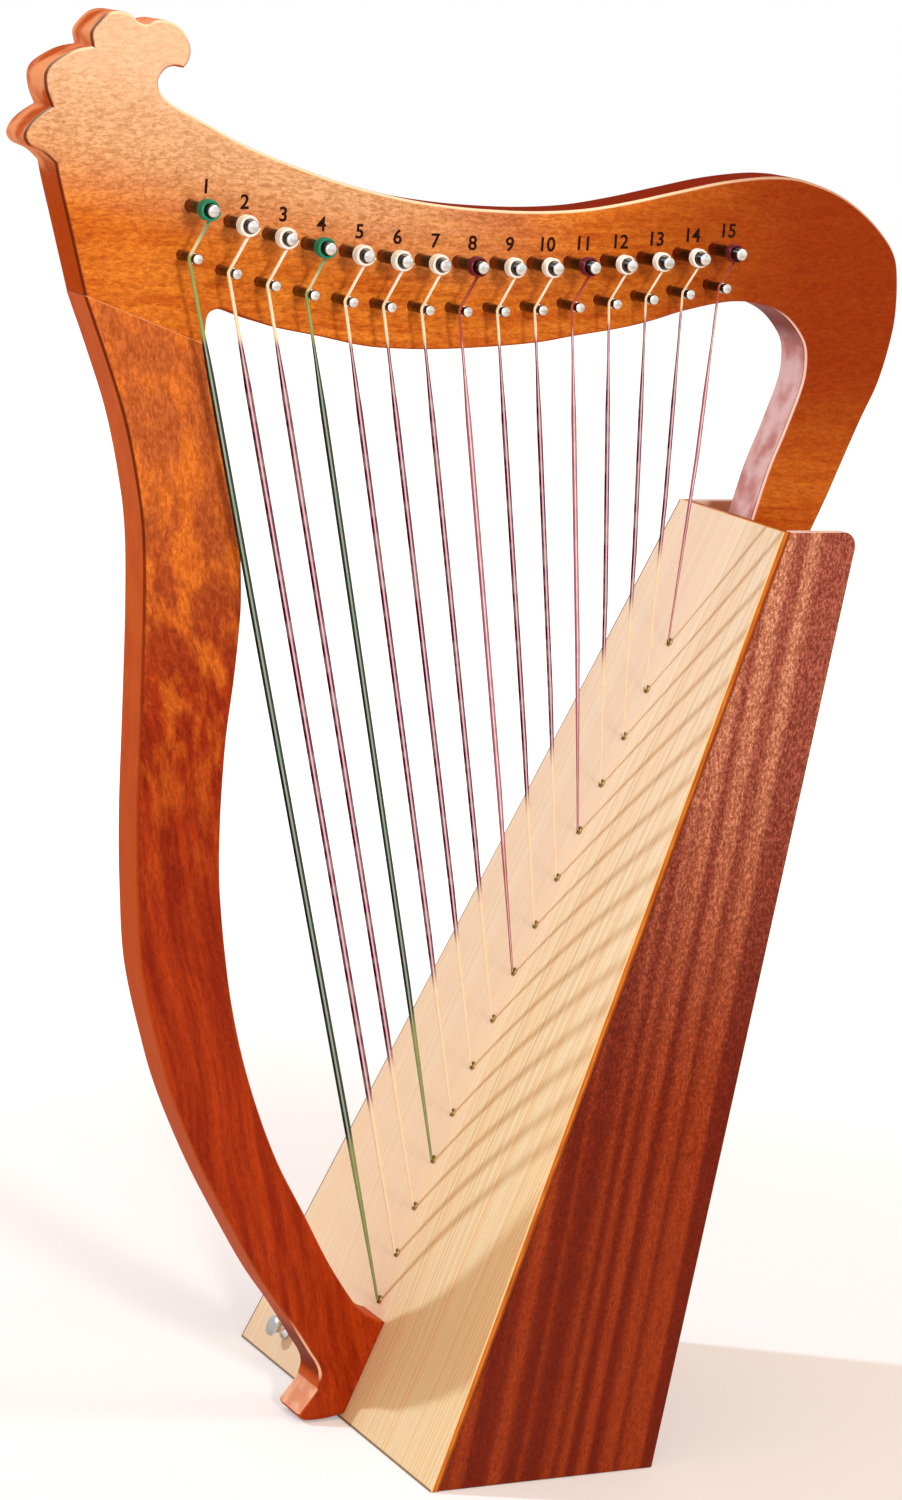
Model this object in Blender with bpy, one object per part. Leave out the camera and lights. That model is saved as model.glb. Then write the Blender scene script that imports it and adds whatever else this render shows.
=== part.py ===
"""A small lap harp with fifteen strings.

The strings run from a slanted soundboard up to a one-piece neck with a carved head. Each one bends
round a fixed bridge pin and is wound on a tuning pin that turns in the neck. A curved pillar joins
the neck to the foot of the soundboard.

Lengths are metres. The harp lies in the XZ plane: the pillar is on the -X side, the soundbox on the
+X side, the pins stand out towards -Y, and the base rests on Z = 0. While a piece is shaped, X = 0
is the bottom front edge of the soundboard; the parent empty then centres the harp on the origin.
"""
import math

import bmesh
import bpy
import numpy as np
from mathutils import Matrix, Vector

# Soundbox
BOX_HEIGHT = 0.3755
BOARD_ANGLE = math.radians(67.5)
BASE_WIDTH = 0.190
TOP_WIDTH = 0.0866
BASE_DEPTH = 0.100
TOP_DEPTH = 0.0335
BOARD_THICKNESS = 0.0035
SIDE_THICKNESS = 0.005
BACK_THICKNESS = 0.004
BASE_THICKNESS = 0.008
TOP_BLOCK_HEIGHT = 0.0205
TOP_BLOCK_RECESS = 0.0055
BOX_CORNER_RADIUS = 0.0055

# Soundboard belly: its height, and how far its crown sits towards the long strings
BELLY = 0.0056
BELLY_SKEW = 0.75
BELLY_FULLNESS = 1.2

# Pieces inside the soundbox
RIB_WIDTH = 0.018
RIB_THICKNESS = 0.005
BRACE_DEPTH = 0.009
BRACE_HEIGHT = 0.008
BRACE_STRING = 6.5
FOOT_BLOCK_HEIGHT = 0.030
FOOT_BLOCK_DEPTH = 0.018
FOOT_BLOCK_WIDTH = 0.060
SOUND_HOLES = ((0.090, 0.026), (0.180, 0.022), (0.262, 0.018))

# Neck and pillar planks
PLANK_THICKNESS = 0.021
PLANK_EDGE_RADIUS = 0.0018
ROUND_STEPS = 2
FOOT_CONTACT_START = 0.002
TOE_LENGTH = 0.044
TOE_HEIGHT = 0.0035
FOOT_CLEARANCE = 0.0006
SHOULDER_INNER = 0.0030
SHOULDER_WIDTH = 0.0305

# Strings and pins
STRING_COUNT = 15
FIRST_HOLE_SPACE = 0.0508
LAST_HOLE_SPACE = 0.0574
STRING_HOLE_RADIUS = 0.0011
LONG_STRING_RADIUS = 0.00060
SHORT_STRING_RADIUS = 0.00040
KNOT_RADIUS = 0.0014
KNOT_LENGTH = 0.0030
BRIDGE_RADIUS = 0.0020
BRIDGE_GROOVE_RADIUS = 0.0014
BRIDGE_GROOVE_WIDTH = 0.0024
BRIDGE_GROOVE_OUT = 0.0135
BRIDGE_OUT = 0.0170
BRIDGE_SEAT_DEPTH = 0.0110
TUNING_RADIUS = 0.0025
TUNING_OUT = 0.0235
TUNING_SEAT_DEPTH = 0.0165
PIN_CHAMFER = 0.0006
WINDING_OUT = 0.0150
WINDING_LOOPS = 3
WINDING_LOOP_POINTS = 9
WINDING_SPACE = 0.0006

# Hidden fasteners
DOWEL_RADIUS = 0.004
DOWEL_LENGTH = 0.036
SCREW_RADIUS = 0.002
SCREW_HEAD_RADIUS = 0.004
SCREW_HEAD_HEIGHT = 0.0025
FOOT_SCREW_PLACE = 0.024
FOOT_SCREW_BITE = 0.013
SHOULDER_SCREW_PLACE = 0.0165
SHOULDER_SCREW_BITE = 0.024

# Strap button
BUTTON_PLACE = 0.015
BUTTON_EDGE_SPACE = 0.032
BUTTON_RADIUS = 0.0045
BUTTON_NECK_RADIUS = 0.0022
BUTTON_HEIGHT = 0.0080
BUTTON_RIM = 0.0018

# Clearances
SEAM = 0.0003
RUNNING_GAP = 0.0001
SEAT_GAP = 0.0002

# Outline steps
CURVE_STEP = 0.0075
FINE_STEP = 0.0032

# Neck outline, as (x, z) from the top front corner of the soundboard
JOINT_OUTER = (-0.2945, 0.0865)
JOINT_INNER = (-0.2440, 0.0685)
NECK_OUTER_SIDE = [JOINT_OUTER, (-0.3020, 0.1115), (-0.3070, 0.1280), (-0.3090, 0.1355)]
LOWER_LOBE = [(-0.3090, 0.1355), (-0.3140, 0.1395), (-0.3200, 0.1420), (-0.3220, 0.1455),
              (-0.3200, 0.1500), (-0.3155, 0.1540), (-0.3115, 0.1565)]
MIDDLE_LOBE = [(-0.3115, 0.1565), (-0.3140, 0.1620), (-0.3150, 0.1675), (-0.3135, 0.1715),
               (-0.3090, 0.1750), (-0.3030, 0.1780), (-0.2965, 0.1795)]
UPPER_LOBE = [(-0.2965, 0.1795), (-0.2975, 0.1845), (-0.2950, 0.1885), (-0.2910, 0.1920),
              (-0.2860, 0.1930), (-0.2815, 0.1920), (-0.2785, 0.1895), (-0.2755, 0.1885)]
BEAK = [(-0.2755, 0.1885), (-0.2720, 0.1900), (-0.2675, 0.1905), (-0.2620, 0.1885),
        (-0.2585, 0.1850), (-0.2565, 0.1800), (-0.2570, 0.1760), (-0.2590, 0.1730)]
HOOK = [(-0.2590, 0.1730), (-0.2625, 0.1735), (-0.2660, 0.1725), (-0.2685, 0.1695),
        (-0.2690, 0.1665), (-0.2675, 0.1630), (-0.2640, 0.1600), (-0.2595, 0.1575)]
NECK_TOP = [(-0.2515, 0.1540), (-0.2330, 0.1455), (-0.2145, 0.1390), (-0.1900, 0.1320),
            (-0.1650, 0.1270), (-0.1435, 0.1245), (-0.1235, 0.1235), (-0.1035, 0.1235),
            (-0.0835, 0.1250), (-0.0635, 0.1285), (-0.0435, 0.1330), (-0.0230, 0.1375),
            (-0.0055, 0.1400), (0.0060, 0.1405), (0.0160, 0.1395), (0.0315, 0.1350),
            (0.0445, 0.1280), (0.0555, 0.1190), (0.0625, 0.1100), (0.0650, 0.0990),
            (0.0655, 0.0840), (0.0635, 0.0705), (0.0595, 0.0560), (0.0530, 0.0415),
            (0.0450, 0.0220), (0.0400, 0.0095)]
NECK_UNDERSIDE = [(0.0100, 0.0200), (0.0160, 0.0360), (0.0220, 0.0535), (0.0235, 0.0625),
                  (0.0225, 0.0715), (0.0180, 0.0785), (0.0110, 0.0845), (0.0010, 0.0885),
                  (-0.0090, 0.0895), (-0.0195, 0.0885), (-0.0355, 0.0850), (-0.0490, 0.0810),
                  (-0.0640, 0.0775), (-0.0850, 0.0740), (-0.0990, 0.0715), (-0.1185, 0.0695),
                  (-0.1435, 0.0680), (-0.1630, 0.0680), (-0.1775, 0.0690), (-0.1970, 0.0725),
                  (-0.2160, 0.0757), (-0.2305, 0.0800), (-0.2375, 0.0820), (-0.2415, 0.0815),
                  (-0.2437, 0.0785), JOINT_INNER]

# Pillar edges, as (height, x from the line foot to joint), drawn for a joint at PILLAR_DRAWN_HEIGHT
PILLAR_DRAWN_HEIGHT = 0.4529
PILLAR_OUTER = [(0.4384, -0.0190), (0.4162, -0.0160), (0.3922, -0.0155), (0.3700, -0.0170),
                (0.3401, -0.0225), (0.2998, -0.0315), (0.2582, -0.0410), (0.2260, -0.0470),
                (0.1952, -0.0510), (0.1630, -0.0500), (0.1404, -0.0475), (0.1119, -0.0410),
                (0.0870, -0.0330), (0.0639, -0.0245), (0.0466, -0.0160)]
PILLAR_INNER = [(0.0566, 0.0120), (0.0697, 0.0065), (0.0915, -0.0005), (0.1128, -0.0075),
                (0.1354, -0.0120), (0.1581, -0.0145), (0.1803, -0.0150), (0.1997, -0.0140),
                (0.2165, -0.0125), (0.2323, -0.0105), (0.2477, -0.0075), (0.2649, -0.0035),
                (0.2890, 0.0030), (0.3116, 0.0105), (0.3297, 0.0160), (0.3451, 0.0200),
                (0.3682, 0.0235), (0.3936, 0.0240), (0.4189, 0.0230)]

# Scroll under the pillar, as (x, z) from the bottom front edge of the soundboard
SCROLL_HOLLOW = [(-0.0172, 0.0311), (-0.0130, 0.0250), (-0.0113, 0.0200), (-0.0123, 0.0138)]
SCROLL_BOTTOM = [(-0.0198, 0.0040), (-0.0176, 0.0013), (-0.0125, FOOT_CLEARANCE), (-0.0060, 0.0009)]
# Round of the toe, as (distance up the board, height above it)
TOE_ROUND = [(0.0446, 0.0093), (0.0463, 0.0149)]

# Rows of pins, as (x, z) from the top front corner of the soundboard
TUNING_ROW = [(-0.2535, 0.1215), (-0.2055, 0.1087), (-0.1395, 0.1028), (-0.0745, 0.1049), (-0.0239, 0.1107)]
BRIDGE_ROW = [(-0.2562, 0.1027), (-0.2075, 0.0901), (-0.1475, 0.0849), (-0.0855, 0.0880), (-0.0258, 0.0963)]

BOARD_UP = Vector((math.cos(BOARD_ANGLE), 0.0, math.sin(BOARD_ANGLE)))
BOARD_OUT = Vector((-math.sin(BOARD_ANGLE), 0.0, math.cos(BOARD_ANGLE)))
BOARD_TOP = Vector((BOX_HEIGHT / math.tan(BOARD_ANGLE), 0.0, BOX_HEIGHT))
BLOCK_TOP = BOX_HEIGHT - TOP_BLOCK_RECESS
BLOCK_BOTTOM = BLOCK_TOP - TOP_BLOCK_HEIGHT
AXIS_Y = Vector((0.0, 1.0, 0.0))
FACE_Y = -PLANK_THICKNESS / 2
BELLY_BOTTOM = TOE_LENGTH * math.sin(BOARD_ANGLE) + 0.001


# Scene helpers

def clear_scene():
    """Remove every object that the file opened with."""
    for old in list(bpy.data.objects):
        bpy.data.objects.remove(old, do_unlink=True)


def material(name, colour, roughness, metallic=0.0):
    """A plain principled material with the colour given as linear RGB."""
    made = bpy.data.materials.new(name)
    made.use_nodes = True
    shader = made.node_tree.nodes["Principled BSDF"]
    shader.inputs["Base Color"].default_value = (*colour, 1.0)
    shader.inputs["Roughness"].default_value = roughness
    shader.inputs["Metallic"].default_value = metallic
    return made


def add_object(name, data, finish, parent):
    """Link a mesh or curve to the scene as one named piece."""
    made = bpy.data.objects.new(name, data)
    bpy.context.scene.collection.objects.link(made)
    made.parent = parent
    if finish is not None:
        data.materials.append(finish)
    return made


def mesh_from(name, bm):
    """Turn a bmesh into a mesh whose faces point outwards."""
    bmesh.ops.recalc_face_normals(bm, faces=bm.faces)
    data = bpy.data.meshes.new(name)
    bm.to_mesh(data)
    bm.free()
    return data


def cut(target, cutter):
    """Subtract the cutter from a piece and keep the cutter out of the model."""
    cutter.hide_render = True
    cutter.display_type = "WIRE"
    step = target.modifiers.new(cutter.name, "BOOLEAN")
    step.operation = "DIFFERENCE"
    step.object = cutter


# Curves and solids

def smooth_line(points, step):
    """Points along a smooth curve through the given points, about a step apart."""
    knots = [Vector(point) for point in points]
    knots = [2 * knots[0] - knots[1]] + knots + [2 * knots[-1] - knots[-2]]
    line = [knots[1]]
    for before, start, end, after in zip(knots, knots[1:], knots[2:], knots[3:]):
        count = max(1, round((end - start).length / step))
        for index in range(1, count + 1):
            t = index / count
            line.append(0.5 * (2 * start + (end - before) * t
                               + (2 * before - 5 * start + 4 * end - after) * t ** 2
                               + (3 * start - before - 3 * end + after) * t ** 3))
    return line


def arc(centre, radius, start, end, count):
    """Points on an arc, angles in degrees from +X towards +Z."""
    angles = [math.radians(start + (end - start) * index / count) for index in range(count + 1)]
    return [Vector((centre[0] + radius * math.cos(a), centre[1] + radius * math.sin(a))) for a in angles]


def prism(name, outline, low, high, finish, parent):
    """A slab between two side faces; each one's y is a function of the height z."""
    bm = bmesh.new()
    near = [bm.verts.new((x, low(z), z)) for x, z in outline]
    far = [bm.verts.new((x, high(z), z)) for x, z in outline]
    bm.faces.new(near)
    bm.faces.new(far)
    for index in range(len(outline)):
        after = (index + 1) % len(outline)
        bm.faces.new((near[index], near[after], far[after], far[index]))
    return add_object(name, mesh_from(name, bm), finish, parent)


def inset(outline, depths):
    """The outline moved inwards, the edge that starts at each point by its own depth."""
    corners = np.array([tuple(point) for point in outline])
    runs = np.roll(corners, -1, axis=0) - corners
    area = (corners[:, 0] * np.roll(corners[:, 1], -1) - np.roll(corners[:, 0], -1) * corners[:, 1]).sum()
    inward = np.stack((-runs[:, 1], runs[:, 0]), axis=1) * (1.0 if area > 0 else -1.0)
    inward /= np.linalg.norm(inward, axis=1)[:, None]
    moved = []
    for index, corner in enumerate(corners):
        before, after = inward[index - 1], inward[index]
        if before @ after > 0.99:
            moved.append(corner + (before + after) / 2 * depths[index])
        else:
            sides = np.array((before, after))
            moved.append(corner + np.linalg.solve(sides, (depths[index - 1], depths[index])))
    return moved


def plank(name, outline, square_edges, finish, parent):
    """A flat plank cut to an outline, its long edges rounded over except at the square ends."""
    half = PLANK_THICKNESS / 2
    turn = [math.radians(90 * step / ROUND_STEPS) for step in range(ROUND_STEPS + 1)]
    levels = [(1 - math.sin(angle), math.cos(angle)) for angle in turn]
    rings = []
    for side in (-1, 1):
        for inwards, outwards in levels[::-side]:
            depths = [0.0 if index in square_edges else PLANK_EDGE_RADIUS * inwards
                      for index in range(len(outline))]
            y = side * (half - PLANK_EDGE_RADIUS * (1 - outwards))
            rings.append([(x, y, z) for x, z in inset(outline, depths)])
    return add_object(name, stacked_mesh(name, rings, math.radians(20)), finish, parent)


def stacked_mesh(name, rings, sharp_angle):
    """A closed body through rings of equally many points, with flat ends."""
    bm = bmesh.new()
    layers = [[bm.verts.new(point) for point in ring] for ring in rings]
    bm.faces.new(layers[0])
    bm.faces.new(layers[-1])
    for lower, upper in zip(layers, layers[1:]):
        for index in range(len(lower)):
            after = (index + 1) % len(lower)
            bm.faces.new((lower[index], lower[after], upper[after], upper[index]))
    data = mesh_from(name, bm)
    data.shade_smooth()
    data.set_sharp_from_angle(angle=sharp_angle)
    return data


def turned_mesh(name, profile, sides):
    """A closed turned body along +Z from (height, radius) pairs, lowest first."""
    angles = [2 * math.pi * index / sides for index in range(sides)]
    rings = [[(radius * math.cos(angle), radius * math.sin(angle), height) for angle in angles]
             for height, radius in profile]
    return stacked_mesh(name, rings, math.radians(40))


def stand(piece, point, direction):
    """Put a turned piece at a point, with its own +Z along a direction."""
    piece.location = point
    piece.rotation_mode = "QUATERNION"
    piece.rotation_quaternion = Vector((0.0, 0.0, 1.0)).rotation_difference(direction)


def bore_cutter(name, bores, radius, sides, parent):
    """One cutter with a prism for each bore, from a start point to an end point."""
    bm = bmesh.new()
    corner = radius / math.cos(math.pi / sides)
    for start, end in bores:
        direction = end - start
        turn = Vector((0.0, 0.0, 1.0)).rotation_difference(direction).to_matrix().to_4x4()
        place = Matrix.Translation((start + end) / 2) @ turn
        bmesh.ops.create_cone(bm, cap_ends=True, segments=sides, radius1=corner, radius2=corner,
                              depth=direction.length, matrix=place)
    return add_object(name, mesh_from(name, bm), None, parent)


# Places on the harp

def half_width(z):
    """Half the soundbox's outside width at a height."""
    return (BASE_WIDTH - (BASE_WIDTH - TOP_WIDTH) * z / BOX_HEIGHT) / 2


def inside_width(z):
    """Half the room between the side panels at a height, less a seam."""
    return half_width(z) - SIDE_THICKNESS - SEAM


def board_slope(depth):
    """How far back along X a depth measured square to the soundboard reaches."""
    return depth / math.sin(BOARD_ANGLE)


def belly(z, share=0.0):
    """How far the soundboard bulges at a height, and at a share of its half width."""
    place = max(0.0, (z - BELLY_BOTTOM) / (BOX_HEIGHT - BELLY_BOTTOM))
    along = max(0.0, math.sin(math.pi * place ** BELLY_SKEW)) ** BELLY_FULLNESS
    return BELLY * along * (1 - share ** 2)


def board_face(z, depth=0.0, share=0.0):
    """X of the soundboard's face at a height, or of a layer some depth behind it."""
    return z / math.tan(BOARD_ANGLE) + board_slope(depth - belly(z, share))


def board_point(up, out, y=0.0):
    """A point a distance up the flat soundboard plane and a height off it."""
    return BOARD_UP * up + BOARD_OUT * out + AXIS_Y * y


def back_face(z, depth=0.0):
    """X of the soundbox's back face at a height, or of a layer some depth inside it."""
    top = BOARD_TOP.x + TOP_DEPTH
    lean = (top - BASE_DEPTH) / BOX_HEIGHT
    return BASE_DEPTH + lean * z - depth * math.hypot(1.0, lean)


def hole_place(index):
    """How far up the soundboard a string's hole lies; the holes are evenly spaced."""
    length = BOX_HEIGHT / math.sin(BOARD_ANGLE)
    step = (length - FIRST_HOLE_SPACE - LAST_HOLE_SPACE) / (STRING_COUNT - 1)
    return FIRST_HOLE_SPACE + step * index


def string_hole(index):
    """The point where a string leaves the bellied soundboard."""
    z = hole_place(index) * math.sin(BOARD_ANGLE)
    return Vector((board_face(z), 0.0, z))


def row_point(row, index):
    """A pin's place on the neck's front face, on the smooth curve of its row."""
    reach = [point[0] for point in row]
    height = [point[1] for point in row]
    curve = np.polyfit(reach, height, len(row) - 1)
    x = reach[0] + (reach[-1] - reach[0]) * index / (STRING_COUNT - 1)
    return BOARD_TOP + Vector((x, FACE_Y, float(np.polyval(curve, x))))


def string_radius(index):
    """Strings get thinner from the longest to the shortest."""
    return LONG_STRING_RADIUS + (SHORT_STRING_RADIUS - LONG_STRING_RADIUS) * index / (STRING_COUNT - 1)


def from_board_top(points):
    """Outline points given from the soundboard's top front corner."""
    return [Vector((BOARD_TOP.x + x, BOARD_TOP.z + z)) for x, z in points]


def joint_line(drop=0.0):
    """The two ends of the glue joint between neck and pillar, moved down across it by a drop."""
    outer, inner = from_board_top([JOINT_OUTER, JOINT_INNER])
    along = (inner - outer).normalized()
    across = Vector((along.y, -along.x))
    return outer + across * drop, inner + across * drop


# Planks

def neck_outline():
    """Neck, carved head and shoulder, from the glue joint round over the head and back.

    Also gives the edges that stay square: the shoulder's end on the top block and the glue joint.
    """
    seat = SEAM - TOP_BLOCK_RECESS
    head = []
    for stretch in (NECK_OUTER_SIDE, LOWER_LOBE, MIDDLE_LOBE, UPPER_LOBE, BEAK):
        head += smooth_line(from_board_top(stretch), FINE_STEP)[:-1]
    head += smooth_line(from_board_top(HOOK), FINE_STEP)[:-1]
    shoulder_end = [(SHOULDER_INNER + SHOULDER_WIDTH, seat)]
    top = smooth_line(from_board_top([HOOK[-1]] + NECK_TOP + shoulder_end), CURVE_STEP)
    underside = smooth_line(from_board_top([(SHOULDER_INNER, seat)] + NECK_UNDERSIDE), CURVE_STEP)
    outline = head + top + underside
    return outline, (len(head) + len(top) - 1, len(outline) - 1)


def on_pillar(points):
    """Pillar points set along the line from the foot to the glue joint, wherever the joint is."""
    outer, inner = joint_line(SEAM)
    middle = (outer + inner) / 2 / PILLAR_DRAWN_HEIGHT
    return [Vector((height * middle.x + offset, height * middle.y)) for height, offset in points]


def flat(point):
    """The x and z of a point as an outline point."""
    return Vector((point.x, point.z))


def pillar_outline():
    """Pillar from the glue joint down its outer edge, round the scroll and toe and up again.

    Also gives the edges that stay square: the foot on the soundboard, the toe's end and the joint.
    """
    outer_end, inner_end = joint_line(SEAM)
    scroll = [Vector(point) for point in SCROLL_HOLLOW]
    outer = smooth_line([outer_end] + on_pillar(PILLAR_OUTER) + scroll, CURVE_STEP)
    contact = flat(board_point(FOOT_CONTACT_START, SEAM))
    bottom = smooth_line([Vector(point) for point in SCROLL_BOTTOM] + [contact], FINE_STEP)
    toe_tip = flat(board_point(TOE_LENGTH, SEAM))
    toe_top = flat(board_point(TOE_LENGTH, TOE_HEIGHT))
    toe_round = [flat(board_point(up, out)) for up, out in TOE_ROUND]
    inner = smooth_line([toe_top] + toe_round + on_pillar(PILLAR_INNER) + [inner_end], CURVE_STEP)
    outline = outer + bottom + [toe_tip] + inner
    foot = len(outer) + len(bottom) - 1
    return outline, (foot, foot + 1, len(outline) - 1)


# Soundbox

def box_profile(front_depth, low, high, back_depth):
    """Side view between two heights, from a depth behind the board to a depth inside the back."""
    def front(z):
        return z / math.tan(BOARD_ANGLE) + board_slope(front_depth)
    return [(front(low), low), (back_face(low, back_depth), low),
            (back_face(high, back_depth), high), (front(high), high)]


def rounded_top_corner(profile):
    """Round the top back corner of a box profile."""
    bottom_front, bottom_back, corner, top_front = profile
    lean = math.degrees(math.atan2(corner[1] - bottom_back[1], corner[0] - bottom_back[0]))
    run = BOX_CORNER_RADIUS / math.tan(math.radians(90 - lean / 2))
    centre = (corner[0] - run, corner[1] - BOX_CORNER_RADIUS)
    return [bottom_front, bottom_back] + arc(centre, BOX_CORNER_RADIUS, lean - 90, 90, 4) + [top_front]


def side_panels(finish, parent):
    """The two flat sides, behind the soundboard and as deep as the box."""
    profile = rounded_top_corner(box_profile(BOARD_THICKNESS + SEAM, 0.0, BOX_HEIGHT, 0.0))
    prism("left_side_panel", profile, lambda z: -half_width(z), lambda z: SIDE_THICKNESS - half_width(z),
          finish, parent)
    prism("right_side_panel", profile, lambda z: half_width(z) - SIDE_THICKNESS, half_width, finish, parent)


def soundboard(finish, parent):
    """A thin board across the front of the box, bellied by the pull of the strings."""
    rows = [0.0] + [BELLY_BOTTOM + (BOX_HEIGHT - BELLY_BOTTOM) * index / 12 for index in range(13)]
    shares = [-1.0, -0.72, -0.42, -0.14, 0.14, 0.42, 0.72, 1.0]
    bm = bmesh.new()
    layers = []
    for depth in (0.0, BOARD_THICKNESS):
        layers.append([[bm.verts.new((board_face(z, depth, share), share * half_width(z), z))
                        for share in shares] for z in rows])
    face, back = layers
    for layer in layers:
        for row in range(len(rows) - 1):
            for column in range(len(shares) - 1):
                bm.faces.new((layer[row][column], layer[row][column + 1],
                              layer[row + 1][column + 1], layer[row + 1][column]))
    rim_face = (face[0] + [line[-1] for line in face[1:]] + face[-1][-2::-1]
                + [line[0] for line in face[-2:0:-1]])
    rim_back = (back[0] + [line[-1] for line in back[1:]] + back[-1][-2::-1]
                + [line[0] for line in back[-2:0:-1]])
    for index in range(len(rim_face)):
        after = (index + 1) % len(rim_face)
        bm.faces.new((rim_face[index], rim_face[after], rim_back[after], rim_back[index]))
    data = mesh_from("soundboard", bm)
    data.shade_smooth()
    data.set_sharp_from_angle(angle=math.radians(20))
    return add_object("soundboard", data, finish, parent)


def back_panel(finish, parent):
    """The back, let in between the sides, with the holes that the strings are fitted through."""
    top = BLOCK_BOTTOM - SEAM
    profile = [(back_face(0.0, BACK_THICKNESS), 0.0), (back_face(0.0), 0.0),
               (back_face(top), top), (back_face(top, BACK_THICKNESS), top)]
    panel = prism("back_panel", profile, lambda z: -inside_width(z), inside_width, finish, parent)
    lean = Vector((back_face(1.0) - back_face(0.0), 0.0, 1.0)).normalized()
    out = Vector((lean.z, 0.0, -lean.x))
    for index, (height, radius) in enumerate(SOUND_HOLES):
        centre = Vector((back_face(height), 0.0, height))
        reach = out * BACK_THICKNESS * 2
        hole = bore_cutter(f"sound_hole_{index + 1}", [(centre - reach, centre + reach)], radius, 32, parent)
        cut(panel, hole)


def box_blocks(finish, parent):
    """The base, the block behind the pillar's foot, and the top block that carries the shoulder.

    The top block is let in a little below the rim of the soundboard and sides.
    """
    behind_board = BOARD_THICKNESS + SEAM
    base = box_profile(behind_board, 0.0, BASE_THICKNESS, BACK_THICKNESS + SEAM)
    prism("base_panel", base, lambda z: -inside_width(z), inside_width, finish, parent)
    top = rounded_top_corner(box_profile(behind_board, BLOCK_BOTTOM, BLOCK_TOP, 0.0))
    top_block = prism("top_block", top, lambda z: -inside_width(z), inside_width, finish, parent)
    low = BASE_THICKNESS + SEAM
    high = low + FOOT_BLOCK_HEIGHT
    block = [(z / math.tan(BOARD_ANGLE) + board_slope(depth), z)
             for depth, z in ((behind_board, low), (behind_board + FOOT_BLOCK_DEPTH, low),
                              (behind_board + FOOT_BLOCK_DEPTH, high), (behind_board, high))]
    foot_block = prism("foot_block", block, lambda z: -FOOT_BLOCK_WIDTH / 2,
                       lambda z: FOOT_BLOCK_WIDTH / 2, finish, parent)
    return top_block, foot_block


def string_rib(finish, parent):
    """The hardwood strip glued under the soundboard that the strings pull on."""
    low = BASE_THICKNESS + FOOT_BLOCK_HEIGHT + 2 * SEAM
    high = BLOCK_BOTTOM - SEAM
    heights = [low + (high - low) * index / 14 for index in range(15)]
    front = [(rib_front(z), z) for z in heights]
    back = [(rib_front(z) + board_slope(RIB_THICKNESS), z) for z in reversed(heights)]
    return prism("string_rib", front + back, lambda z: -RIB_WIDTH / 2, lambda z: RIB_WIDTH / 2,
                 finish, parent)


def rib_front(z):
    """X of the rib's front face, just behind the bellied soundboard."""
    share = RIB_WIDTH / 2 / half_width(z)
    return board_face(z, BOARD_THICKNESS + SEAM, share)


def brace(finish, parent):
    """The bar from side to side behind the rib, between two string holes."""
    middle = hole_place(BRACE_STRING) * math.sin(BOARD_ANGLE)
    low = middle - BRACE_HEIGHT / 2
    high = middle + BRACE_HEIGHT / 2
    start = RIB_THICKNESS + SEAM
    profile = [(rib_front(z) + board_slope(depth), z)
               for depth, z in ((start, low), (start + BRACE_DEPTH, low),
                                (start + BRACE_DEPTH, high), (start, high))]
    prism("brace", profile, lambda z: -inside_width(z), inside_width, finish, parent)


# Fasteners

def screw(name, seat, direction, length, finish, parent):
    """A plain screw whose head rests behind the seat and whose shank runs along a direction."""
    profile = [(-SCREW_HEAD_HEIGHT, SCREW_HEAD_RADIUS - PIN_CHAMFER),
               (-SCREW_HEAD_HEIGHT + PIN_CHAMFER, SCREW_HEAD_RADIUS), (0.0, SCREW_HEAD_RADIUS),
               (0.0, SCREW_RADIUS), (length - SCREW_RADIUS, SCREW_RADIUS), (length, SCREW_RADIUS / 4)]
    piece = add_object(name, turned_mesh(name, profile, 10), finish, parent)
    stand(piece, seat, direction)


def fasten_foot(pillar, board, foot_block, finish, parent):
    """The screw from inside the box through block and board into the pillar's foot."""
    layers = BOARD_THICKNESS + FOOT_BLOCK_DEPTH + 2 * SEAM
    seat = board_point(FOOT_SCREW_PLACE, -layers)
    tip = board_point(FOOT_SCREW_PLACE, FOOT_SCREW_BITE)
    screw("foot_screw", seat, BOARD_OUT, layers + FOOT_SCREW_BITE, finish, parent)
    bore = bore_cutter("foot_screw_bore", [(seat - BOARD_OUT * SEAM * 10, tip + BOARD_OUT * SEAM)],
                       SCREW_RADIUS + SEAT_GAP, 10, parent)
    for piece in (pillar, board, foot_block):
        cut(piece, bore)


def fasten_shoulder(neck, top_block, finish, parent):
    """The screw from inside the box up through the top block into the shoulder."""
    seat = Vector((BOARD_TOP.x + SHOULDER_SCREW_PLACE, 0.0, BLOCK_BOTTOM - SEAM))
    length = TOP_BLOCK_HEIGHT + 2 * SEAM + SHOULDER_SCREW_BITE
    up = Vector((0.0, 0.0, 1.0))
    screw("shoulder_screw", seat, up, length, finish, parent)
    bore = bore_cutter("shoulder_screw_bore", [(seat - up * SEAM * 10, seat + up * (length + SEAM))],
                       SCREW_RADIUS + SEAT_GAP, 10, parent)
    for piece in (neck, top_block):
        cut(piece, bore)


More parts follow.
